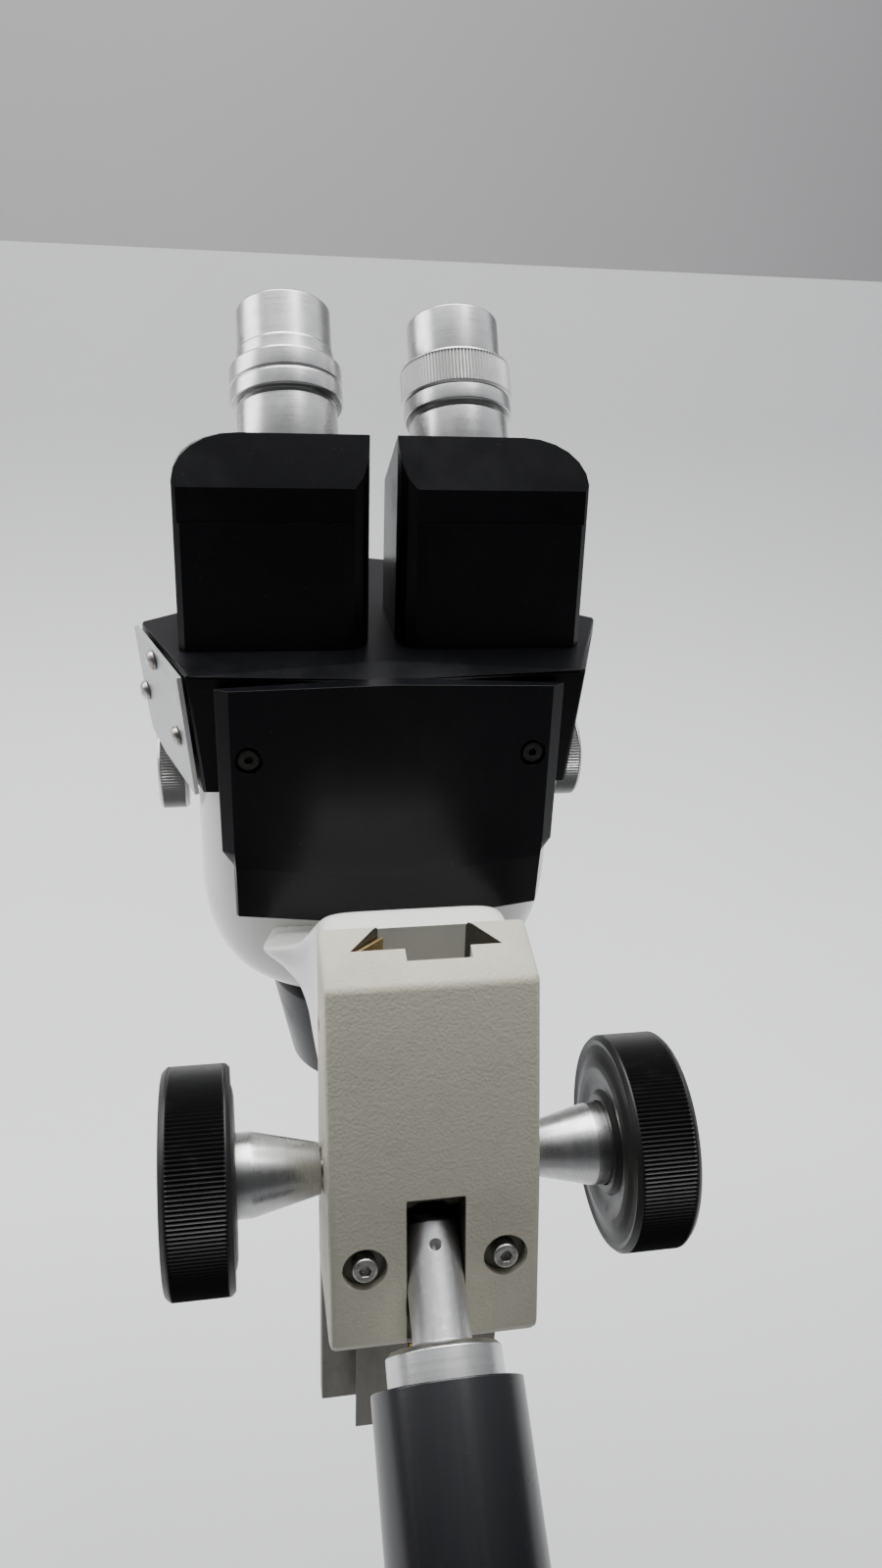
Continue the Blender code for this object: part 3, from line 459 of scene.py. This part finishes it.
plated = Finish("plated_screw_steel", Metallic=1.0)
patina = plated.noise(plated.where((500.0, 500.0, 500.0)), 4.0, 0.6)
plated.finish(patina, 0.02,
              Base_Color=plated.mix(plated.band(patina, 0.42, 0.7), colour(0.60, 0.59, 0.56),
                                    colour(0.26, 0.24, 0.20)),
              Roughness=0.22 + patina * 0.25)

for side in ("right", "left"):
    softened(f"clamp_washer_{side}", dull_steel.material, 0.15, 2)
    softened(f"clamp_screw_{side}", plated.material, 0.25, 2)
softened("clamp_yoke", dull_steel.material, 0.5, 2)

# ------------------------------------------------------------------ guide fittings
# Brass bushes carry the focus shaft. A brass gib takes up the play of the dovetail, pressed by
# two grub screws in the block's side.

brass = Finish("machined_brass", Metallic=1.0)
dulled = brass.noise(brass.where((300.0, 300.0, 300.0)), 4.0)
brass.finish(dulled, 0.01,
             Base_Color=brass.mix(dulled, colour(0.42, 0.30, 0.12), colour(0.72, 0.55, 0.27)),
             Roughness=0.28 + dulled * 0.2)


def repaint(material, *nodes):
    """Give CAD pieces that are shown as they are a finish of this script."""
    for node in nodes:
        mesh = frame["nodes"][node].data
        mesh.materials.clear()
        mesh.materials.append(material)


repaint(brass.material, "shaft_bush_right", "shaft_bush_left", "focus_rack")
repaint(dull_steel.material, "gib_screw_upper", "gib_screw_lower")
softened("gib_strip", brass.material, 0.2, 2)

# ------------------------------------------------------------------ focus drive
# A steel pinion shaft runs through the block. On each end an aluminium hub, turned to a cone
# and held by a grub screw, carries a black moulded knob with fine straight ribs.

KNOB_RADIUS, KNOB_INNER, KNOB_OUTER = 30.8, 53.3, 72.2
KNOB_RIBS, RIB_DEPTH = 160, 0.75
HUB_START = 29.5
shaft = np.array(joint["focus_turn"]["pos_m"]) / MM

moulded = Finish("black_moulded_knob", Specular_IOR_Level=0.45)
speck = moulded.noise(moulded.where((700.0, 700.0, 700.0)), 4.0, 0.6)
dust = moulded.band(moulded.noise(moulded.where((150.0, 150.0, 150.0)), 5.0, 0.7), 0.55, 0.78)
moulded.finish(speck, 0.02,
               Base_Color=moulded.mix(dust * 0.30, colour(0.0045, 0.0045, 0.0048),
                                      colour(0.034, 0.033, 0.030)),
               Roughness=0.36 + speck * 0.12 + dust * 0.15)

for side, sign in (("right", -1), ("left", 1)):
    outwards = axis_at(shaft, (sign, 0, 0))
    hub = turned(f"focus_hub_{side}_turned",
                 [(3.3, HUB_START), (7.0, HUB_START), (7.35, HUB_START + 1.4),
                  (11.4, KNOB_INNER - 5.6), (11.6, KNOB_INNER - 4.6), (11.6, KNOB_INNER + 4),
                  (3.3, KNOB_INNER + 4)], bright_turned.material, outwards, 128, 0.3)
    stands_for(hub, f"focus_hub_{side}")
    edge = KNOB_RADIUS
    bulge = [(r, KNOB_INNER + 0.9 - 1.5 * sin(radians(180 * (r - 15) / 13)) ** 2)
             for r in np.linspace(15, 28, 7)]
    knob = turned(f"focus_knob_{side}_ribbed",
                  [(3.3, KNOB_INNER + 4.3), (11.9, KNOB_INNER + 4.3), (11.9, KNOB_INNER - 0.6),
                   (14.0, KNOB_INNER - 0.6)] + bulge
                  + [(edge - 1.2, KNOB_INNER + 0.2), (edge, KNOB_INNER + 1.5),
                     (edge, KNOB_INNER + 2.6), (edge, KNOB_OUTER - 2.6), (edge, KNOB_OUTER - 1.5),
                     (edge - 1.4, KNOB_OUTER), (22.0, KNOB_OUTER), (20.5, KNOB_OUTER - 1.5),
                     (3.3, KNOB_OUTER - 1.5)], moulded.material, outwards, 128, 0.35,
                  ribs=KNOB_RIBS, rib_depth=RIB_DEPTH,
                  ribbed=(KNOB_INNER + 1.9, KNOB_OUTER - 1.9))
    stands_for(knob, f"focus_knob_{side}")
    repaint(dull_steel.material, f"hub_screw_{side}")
softened("pinion_shaft", plated.material, 0.1, 2, 50.0)

# ------------------------------------------------------------------ slide
# The slide is a ground steel plate with a male dovetail bar behind it, both brown with old
# grease. The brass rack is let into the bar.

softened("slide_plate", dull_steel.material, 0.5, 3)
softened("dovetail_bar", dull_steel.material, 0.3, 2)

# ------------------------------------------------------------------ pod
# The optical pod is an aluminium casting in white gloss enamel: a rounded square in plan that
# closes in below. The foot on its back narrows to the slide.

pod_high = np.array(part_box("pod_body")[1]) / MM
skirt_low, skirt_high = (np.array(corner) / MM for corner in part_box("objective_skirt"))
optic_y = (skirt_low[1] + skirt_high[1]) / 2
POD_HALF_WIDTH = 61.5
POD_HALF_DEPTH = pod_high[1] - optic_y
PARTING_SLOPE = radians(10.0)
shoulder_z = skirt_high[2] + 0.3

enamel = Finish("white_gloss_enamel", Coat_Weight=0.25, Coat_Roughness=0.08)
peel = enamel.noise(enamel.where((260.0, 260.0, 260.0)), 2.0)
film = enamel.noise(enamel.where((24.0, 24.0, 18.0)), 5.0, 0.6)
grubby = enamel.band(film, 0.52, 0.75)
enamel.finish(peel, 0.012,
              Base_Color=enamel.mix(grubby * 0.35, colour(0.80, 0.80, 0.76),
                                    colour(0.60, 0.58, 0.50)),
              Roughness=0.20 + grubby * 0.18 + peel * 0.05)


def rounded_square(angle, half_width, half_depth, power):
    """Points of a superellipse: each coordinate is a signed power of the cosine or sine."""
    c, s = np.cos(angle), np.sin(angle)
    return (np.sign(c) * np.abs(c) ** (2 / power) * half_width,
            np.sign(s) * np.abs(s) ** (2 / power) * half_depth)


def pod_shell(columns=192):
    """The pod's skin: superellipses whose size and height follow a rounded profile.

    Down the side the inset is zero, then both inset and height follow a quarter of an ellipse
    to the skirt's flange. The top ring lies on a plane that slopes up with y."""
    angle = np.arange(columns) * 2 * np.pi / columns
    turn = np.linspace(0, np.pi / 2, 22)
    foot_half = 27.0
    knee = shoulder_z + 42.0
    width = foot_half + 7 + (POD_HALF_WIDTH - foot_half - 7) * np.cos(turn) ** 0.8
    depth = foot_half + (POD_HALF_DEPTH - foot_half) * np.cos(turn) ** 0.8
    height = knee - (knee - shoulder_z) * np.sin(turn)
    width = np.concatenate([[POD_HALF_WIDTH] * 2, width, [26.0]])
    depth = np.concatenate([[POD_HALF_DEPTH] * 2, depth, [26.0]])
    height = np.concatenate([[knee + 30.0, knee + 6.0], height, [shoulder_z]])
    power = np.linspace(2.9, 2.0, len(width))
    rings = []
    for w, d, h, p in zip(width, depth, height, power):
        px, py = rounded_square(angle, w, d, p)
        rings.append(np.stack([px, py + optic_y, np.full(columns, h)], axis=-1))
    rim = rings[0].copy()
    rim[:, 2] = parting_height(rim[:, 1]) - 0.3
    inner = rim.copy()
    centre = np.array((0.0, optic_y, 0.0))
    inner[:, :2] = centre[:2] + (rim[:, :2] - centre[:2]) * 0.93
    well = inner.copy()
    well[:, 2] = shoulder_z + 30.0
    floor = well.copy()
    floor[:, :2] = centre[:2] + (well[:, :2] - centre[:2]) * 0.45
    floor[:, 2] = shoulder_z + 5.0
    rings[0] = rim
    return np.stack([floor, well, inner] + rings)


PARTING_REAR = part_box("head_base")[0][2] / MM      # lowest point of the black base


def parting_height(y):
    """Height of the sloping joint between the pod and the black base."""
    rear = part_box("head_base")[0][1] / MM
    return PARTING_REAR + (y - rear) * np.tan(PARTING_SLOPE)


pod = surface("pod_shell_enamelled", pod_shell(), enamel.material, sharp=40.0)
stands_for(pod, "pod_body")


def through(stations, values, at):
    """A cubic Hermite curve through (station, value) pairs, with central slopes."""
    stations, values = np.array(stations), np.array(values)
    slopes = np.gradient(values, stations)
    i = np.clip(np.searchsorted(stations, at, "right") - 1, 0, len(stations) - 2)
    span = stations[i + 1] - stations[i]
    t = (at - stations[i]) / span
    return ((2 * t ** 3 - 3 * t ** 2 + 1) * values[i] + (t ** 3 - 2 * t ** 2 + t) * span * slopes[i]
            + (3 * t ** 2 - 2 * t ** 3) * values[i + 1] + (t ** 3 - t ** 2) * span * slopes[i + 1])


def foot_surface(columns=96):
    """The pod's foot: rounded rectangles from the slide's pad to the pod, back to front.

    The stations give, at a distance from the pad, the half widths at the top and the bottom and
    the two heights above the skirt. Between top and bottom the half width is
    low + (top - low) share^2.5, where share is 0 at the bottom and 1 at the top."""
    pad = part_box("slide_plate")[1][1] / MM + 0.3
    stations = [0.0, 10.9, 26.9, 42.9, 64.9]
    at = np.linspace(stations[0], stations[-1], 27)
    top_half = through(stations, [28.6, 28.6, 36.0, 48.0, 44.0], at)
    low_half = through(stations, [27.4, 27.4, 28.0, 28.5, 32.0], at)
    low = through(stations, [3.3, 3.3, 6.3, 10.3, 10.3], at) + skirt_high[2]
    high = through(stations, [63.3, 63.3, 47.3, 37.3, 33.3], at) + skirt_high[2]
    power = np.linspace(9.0, 5.0, len(at))
    angle = np.arange(columns) * 2 * np.pi / columns
    rings = []
    for y, top, bottom, a, b, n in zip(at, top_half, low_half, low, high, power):
        px, pz = rounded_square(angle, 1.0, 1.0, n)
        half = bottom + (top - bottom) * ((pz + 1) / 2) ** 2.5
        rings.append(np.stack([px * half, np.full(columns, pad + y),
                               (a + b) / 2 + pz * (b - a) / 2], axis=-1))
    return np.stack(rings)


foot = surface("pod_foot_enamelled", foot_surface(), enamel.material, sharp=40.0, caps=True)
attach(foot, "head")

# ------------------------------------------------------------------ black base and cover
# The head's base is a casting in black satin enamel with straight rear flanks. A ridged cover
# plate closes its back, held by two sunk screws, and a plain steel plate covers a port in its
# right flank.

satin = Finish("black_satin_enamel", Specular_IOR_Level=0.22, Coat_Weight=0.02,
               Coat_Roughness=0.12)
orange = satin.noise(satin.where((420.0, 420.0, 420.0)), 2.0)
cloud = satin.noise(satin.where((30.0, 30.0, 30.0)), 5.0, 0.6)
lint = satin.band(satin.noise(satin.where((1400.0, 1400.0, 1400.0)), 1.0), 0.74, 0.80)
handled = satin.band(cloud, 0.48, 0.72)
chip = satin.band(satin.noise(satin.where((240.0, 240.0, 240.0)), 6.0, 0.7), 0.74, 0.77)
black = satin.mix(handled * 0.5, colour(0.0030, 0.0031, 0.0042), colour(0.0062, 0.0064, 0.0082))
black = satin.mix(lint * 0.35, black, colour(0.10, 0.10, 0.10))
satin.finish(orange + chip * 0.5, 0.014,
             Base_Color=satin.mix(chip * 0.5, black, colour(0.16, 0.16, 0.15)),
             Roughness=0.27 + handled * 0.12 + orange * 0.06)

softened("head_base", satin.material, 1.0, 3, 28.0, 0.6)
softened("rear_cover", satin.material, 0.7, 3, 24.0, 0.6)

black_oxide = Finish("black_oxide_screw", Metallic=0.7, Roughness=0.4)
oxide = black_oxide.noise(black_oxide.where((600.0, 600.0, 600.0)), 3.0)
black_oxide.finish(oxide, 0.01,
                   Base_Color=black_oxide.mix(oxide, colour(0.012, 0.012, 0.012),
                                              colour(0.06, 0.058, 0.052)))
for side in ("right", "left"):
    softened(f"cover_screw_{side}", black_oxide.material, 0.2, 2)

plate_grey = Finish("rolled_steel_plate", Metallic=0.85)
rolled = plate_grey.noise(plate_grey.where((50.0, 700.0, 50.0)), 3.0)
mark = plate_grey.band(plate_grey.noise(plate_grey.where((80.0, 80.0, 80.0)), 6.0, 0.7),
                       0.55, 0.75)
plate_grey.finish(rolled, 0.01,
                  Base_Color=plate_grey.mix(mark * 0.5, colour(0.50, 0.51, 0.50),
                                            colour(0.30, 0.30, 0.29)),
                  Roughness=0.34 + rolled * 0.12 + mark * 0.15)
softened("side_plate", plate_grey.material, 0.3, 2)
for number in (1, 2, 3):
    softened(f"side_screw_{number}", plated.material, 0.2, 2)

# ------------------------------------------------------------------ objective
# A black skirt, spun from sheet, shades the two objective lenses. They are cemented doublets
# with a magenta coating, set in a turned steel carrier.

RIM_RADIUS, FLANGE_RADIUS = 30.4, 38.2
SKIRT_WALL = 1.6
rim_z, flange_z = skirt_low[2], skirt_high[2]
optic = axis_at((0.0, optic_y, 0.0), (0, 0, 1))
skirt = turned("objective_skirt_spun",
               [(RIM_RADIUS - SKIRT_WALL, rim_z), (RIM_RADIUS, rim_z),
                (FLANGE_RADIUS, flange_z - 3.2), (FLANGE_RADIUS - 0.8, flange_z),
                (27.0, flange_z), (27.0, flange_z - 2.7), (FLANGE_RADIUS - 2.4, flange_z - 4.3)],
               satin.material, optic, 160, 0.5)
stands_for(skirt, "objective_skirt")
softened("objective_carrier", dull_steel.material, 0.4, 2)

coated = Finish("coated_lens_glass", Roughness=0.04, Coat_Weight=1.0, Coat_Roughness=0.02,
                Specular_IOR_Level=0.8)
# Painted reflection: the base colour turns from dark glass to the coating's magenta as the surface is seen more
# edge-on.
painted_coating_sheen = coated.node("ShaderNodeLayerWeight", None, {"Blend": 0.35}, 1)
coated.finish(Base_Color=coated.mix(painted_coating_sheen, colour(0.012, 0.016, 0.022),
                                    colour(0.10, 0.035, 0.12)))


def lens(node, axis, low, radius, rim, bulge):
    """A lens with one domed face: height is low + rim + bulge (1 - (r / radius)^2)."""
    r = np.linspace(radius, 0.0, 14)
    dome = np.stack([r, low + rim + bulge * (1 - (r / radius) ** 2)], axis=-1)
    profile = np.concatenate([[(0.0, low), (radius, low)], dome])
    return stands_for(turned(f"{node}_polished", profile, coated.material, axis, 64, 0.1,
                             closed=False), node)


for side, sign in (("right", -1), ("left", 1)):
    low, high = (np.array(corner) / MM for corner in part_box(f"objective_lens_{side}"))
    centre = (low + high) / 2
    lens(f"objective_lens_{side}", axis_at((centre[0], centre[1], high[2]), (0, 0, -1)), 0.0,
         9.0, 4.2, high[2] - low[2] - 4.3)

# ------------------------------------------------------------------ zoom
# One cross shaft works the zoom from both sides. Its aluminium knobs have a straight knurl; the
# carriage with the moving lenses rides on two rods inside the pod.

ZOOM_RADIUS, ZOOM_RIBS = 15.0, 92
ZOOM_INNER, ZOOM_OUTER = 65.0, 75.0          # faces of a knob, from the middle of the shaft
zoom = np.array(joint["zoom_turn"]["pos_m"]) / MM
knurled = lathe_marks("knurled_aluminium", colour(0.62, 0.62, 0.60), colour(0.88, 0.88, 0.86),
                      0.26, 0.14, 14.0)
for side, sign in (("right", -1), ("left", 1)):
    outwards = axis_at(zoom, (sign, 0, 0))
    knob = turned(f"zoom_knob_{side}_knurled",
                  [(3.8, ZOOM_INNER - 1.2), (6.0, ZOOM_INNER - 1.2), (6.0, ZOOM_INNER),
                   (ZOOM_RADIUS - 0.7, ZOOM_INNER), (ZOOM_RADIUS, ZOOM_INNER + 0.7),
                   (ZOOM_RADIUS, ZOOM_INNER + 1.4), (ZOOM_RADIUS, ZOOM_OUTER - 1.5),
                   (ZOOM_RADIUS, ZOOM_OUTER - 0.8), (ZOOM_RADIUS - 0.8, ZOOM_OUTER),
                   (9.0, ZOOM_OUTER), (8.4, ZOOM_OUTER - 0.5), (3.8, ZOOM_OUTER - 0.5)],
                  knurled.material, outwards, 128, 0.2, ribs=ZOOM_RIBS, rib_depth=0.55,
                  ribbed=(ZOOM_INNER + 1.0, ZOOM_OUTER - 1.1))
    stands_for(knob, f"zoom_knob_{side}")
    repaint(coated.material, f"zoom_lens_{side}")
    repaint(bright_turned.material, f"guide_rod_{side}")
repaint(plated.material, "zoom_shaft", "zoom_carriage")

# ------------------------------------------------------------------ prism housings
# Each eyepiece stands on its own black housing, a casting with a slanted brow, which turns on
# the deck to set the distance between the eyes. A glass prism block lies inside.

for side in ("right", "left"):
    softened(f"prism_housing_{side}", satin.material, 0.9, 3, 22.0, 0.5)
    repaint(dull_steel.material, f"swivel_ring_{side}")
    repaint(coated.material, f"prism_{side}")

# ------------------------------------------------------------------ eyepieces
# Bright turned aluminium. The right eyepiece is a plain collar and cap that pull out of their
# tube; the left has a knurled ring that turns to set the dioptre.

eye_point = np.array(joint["left_dioptre_turn"]["pos_m"]) / MM
eye_direction = joint["left_dioptre_turn"]["axis"]
left_eye = axis_at(eye_point, eye_direction)
right_eye = axis_at(eye_point * (-1, 1, 1), eye_direction)

tube_right = turned("eyepiece_tube_right_turned",
                    [(13.9, 0.3), (16.4, 0.3), (16.4, 16.9), (13.9, 16.9)],
                    bright_turned.material, right_eye, 160, 0.3)
stands_for(tube_right, "eyepiece_tube_right")
tube_left = turned("eyepiece_tube_left_turned",
                   [(13.9, 0.3), (16.4, 0.3), (16.4, 13.5), (15.4, 13.5), (15.4, 14.8),
                    (17.5, 14.8), (18.0, 15.3), (18.0, 20.3), (13.9, 20.3)],
                   bright_turned.material, left_eye, 160, 0.25)
stands_for(tube_left, "eyepiece_tube_left")
cap_right = turned("eyepiece_right_turned",
                   [(12.0, 1.5), (13.6, 1.5), (13.6, 17.2), (15.8, 17.2), (15.8, 18.2),
                    (18.0, 18.2), (18.4, 18.6), (18.4, 23.6), (18.0, 24.0), (18.0, 24.5),
                    (18.4, 24.9), (18.4, 30.6), (17.6, 31.5), (15.9, 31.5), (15.9, 36.3),
                    (15.5, 36.7), (15.5, 51.2), (14.8, 52.0), (12.2, 52.0), (11.0, 50.0),
                    (11.0, 44.0), (12.0, 44.0)], bright_turned.material, right_eye, 160, 0.25)
stands_for(cap_right, "eyepiece_right")
cap_left = turned("eyepiece_left_turned",
                  [(12.0, 1.5), (13.6, 1.5), (13.6, 22.6), (15.4, 22.6), (15.4, 48.7),
                   (14.7, 49.5), (12.2, 49.5), (11.0, 47.5), (11.0, 42.0), (12.0, 42.0)],
                  bright_turned.material, left_eye, 160, 0.25)
stands_for(cap_left, "eyepiece_left")
dioptre = turned("dioptre_ring_knurled",
                 [(15.7, 20.6), (17.9, 20.6), (18.5, 21.2), (18.5, 21.8), (18.5, 31.4),
                  (18.5, 32.0), (17.8, 32.7), (15.7, 32.7)], knurled.material, left_eye, 160,
                 0.25, ribs=104, rib_depth=0.55, ribbed=(21.5, 31.7))
stands_for(dioptre, "dioptre_ring")
lens("eye_lens_right", right_eye, 45.0, 10.7, 2.2, 1.8)
lens("eye_lens_left", left_eye, 43.0, 10.7, 2.2, 1.8)

# ------------------------------------------------------------------ room
# A pale seamless sheet curves up behind the microscope and ends below a grey wall; painted shade
# darkens it towards the camera. A broad overhead panel and a window on the left stand in for the room.

FLOOR_DROP = 260.0
SHEET_Y, SHEET_TOP = 1450.0, 432.0


def sheet_grid():
    """A floor that turns up into a wall along a quarter circle, extruded across."""
    radius = 500.0
    turn = np.linspace(0, np.pi / 2, 24)
    y = np.concatenate([[-2600.0, 0.0], SHEET_Y - radius + radius * np.sin(turn), [SHEET_Y]])
    z = np.concatenate([[0.0, 0.0], radius * (1 - np.cos(turn)), [SHEET_TOP + FLOOR_DROP]])
    z = np.minimum(z, SHEET_TOP + FLOOR_DROP) - FLOOR_DROP
    x = np.linspace(-3000.0, 3000.0, 4)
    grid = np.empty((len(y), len(x), 3))
    grid[..., 0], grid[..., 1], grid[..., 2] = x[None], y[:, None], z[:, None]
    return grid


paper = Finish("pale_sheet", Roughness=0.55)
mottle = paper.noise(paper.where((3.0, 3.0, 3.0)), 3.0)
# Painted shade: the sheet's colour falls from pale to dark grey between y = 0.6 m and y = -0.5 m, towards the
# camera.
painted_shade_towards_camera = paper.band(paper.axis(1), -0.5, 0.6)
pale = paper.mix(mottle, colour(0.74, 0.745, 0.75), colour(0.80, 0.805, 0.81))
paper.finish(Base_Color=paper.mix(painted_shade_towards_camera, colour(0.16, 0.16, 0.165), pale))
sheet = surface("pale_sheet", sheet_grid(), paper.material, wrap=False)

wall_grey = Finish("grey_wall", Roughness=0.8)
wall_tone = wall_grey.noise(wall_grey.where((1.5, 1.5, 1.5)), 3.0)
wall_grey.finish(Base_Color=wall_grey.mix(wall_tone, colour(0.60, 0.59, 0.605),
                                          colour(0.66, 0.65, 0.665)))
wall = np.empty((2, 2, 3))
wall[..., 0] = [[-4000.0, 4000.0]] * 2
wall[..., 1] = 2300.0
wall[..., 2] = [[-500.0] * 2, [3500.0] * 2]
back_wall = surface("grey_wall", wall, wall_grey.material, wrap=False)


def panel(name, place, look, size, power):
    """A soft rectangular light at a place, aimed at a point, in metres."""
    lamp = bpy.data.lights.new(name, "AREA")
    lamp.shape = "RECTANGLE"
    lamp.size, lamp.size_y = size
    lamp.energy = power
    holder = bpy.data.objects.new(name, lamp)
    bpy.context.collection.objects.link(holder)
    holder.location = place
    aim = Vector(look) - Vector(place)
    holder.rotation_euler = aim.to_track_quat("-Z", "Y").to_euler()
    return holder


panel("ceiling_panel", (0.1, 0.5, 2.1), (0.0, 0.2, 0.0), (2.2, 1.6), 72.0)
panel("window", (-2.0, 0.9, 1.3), (0.0, 0.2, 0.1), (1.4, 1.4), 26.0)

BRIGHT_SIDE = (0.0, 0.75, 0.66)      # the room is bright ahead and above, dim behind the camera
world = bpy.data.worlds.new("overcast_room")
world.use_nodes = True
sky = world.node_tree
towards = sky.nodes.new("ShaderNodeVectorMath")
towards.operation = "DOT_PRODUCT"
towards.inputs[1].default_value = BRIGHT_SIDE
ramp = sky.nodes.new("ShaderNodeMapRange")
ramp.interpolation_type = "SMOOTHSTEP"
for key, value in {"From Min": -0.10, "From Max": 0.80, "To Min": 0.08, "To Max": 1.75}.items():
    ramp.inputs[key].default_value = value
background = sky.nodes["Background"]
background.inputs["Color"].default_value = (0.93, 0.95, 1.0, 1.0)
sky.links.new(sky.nodes.new("ShaderNodeTexCoord").outputs["Generated"], towards.inputs[0])
sky.links.new(towards.outputs["Value"], ramp.inputs["Value"])
sky.links.new(ramp.outputs["Result"], background.inputs["Strength"])
bpy.context.scene.world = world

# ------------------------------------------------------------------ camera
# Held just above and left of the arm's end, looking down along the arm at the head.

CAMERA_PLACE = (-0.0500, -0.1129, 0.3370)
CAMERA_YAW, CAMERA_PITCH, CAMERA_ROLL = 10.89, 20.82, 1.96
camera_data = bpy.data.cameras.new("camera")
camera_data.lens = 26.63
camera_data.sensor_width = 36.0
camera_data.clip_start = 0.01
camera = bpy.data.objects.new("camera", camera_data)
bpy.context.collection.objects.link(camera)
camera.matrix_world = (Matrix.Translation(CAMERA_PLACE)
                       @ Matrix.Rotation(radians(-CAMERA_YAW), 4, "Z")
                       @ Matrix.Rotation(radians(90.0 - CAMERA_PITCH), 4, "X")
                       @ Matrix.Rotation(radians(CAMERA_ROLL), 4, "Z"))
bpy.context.scene.camera = camera
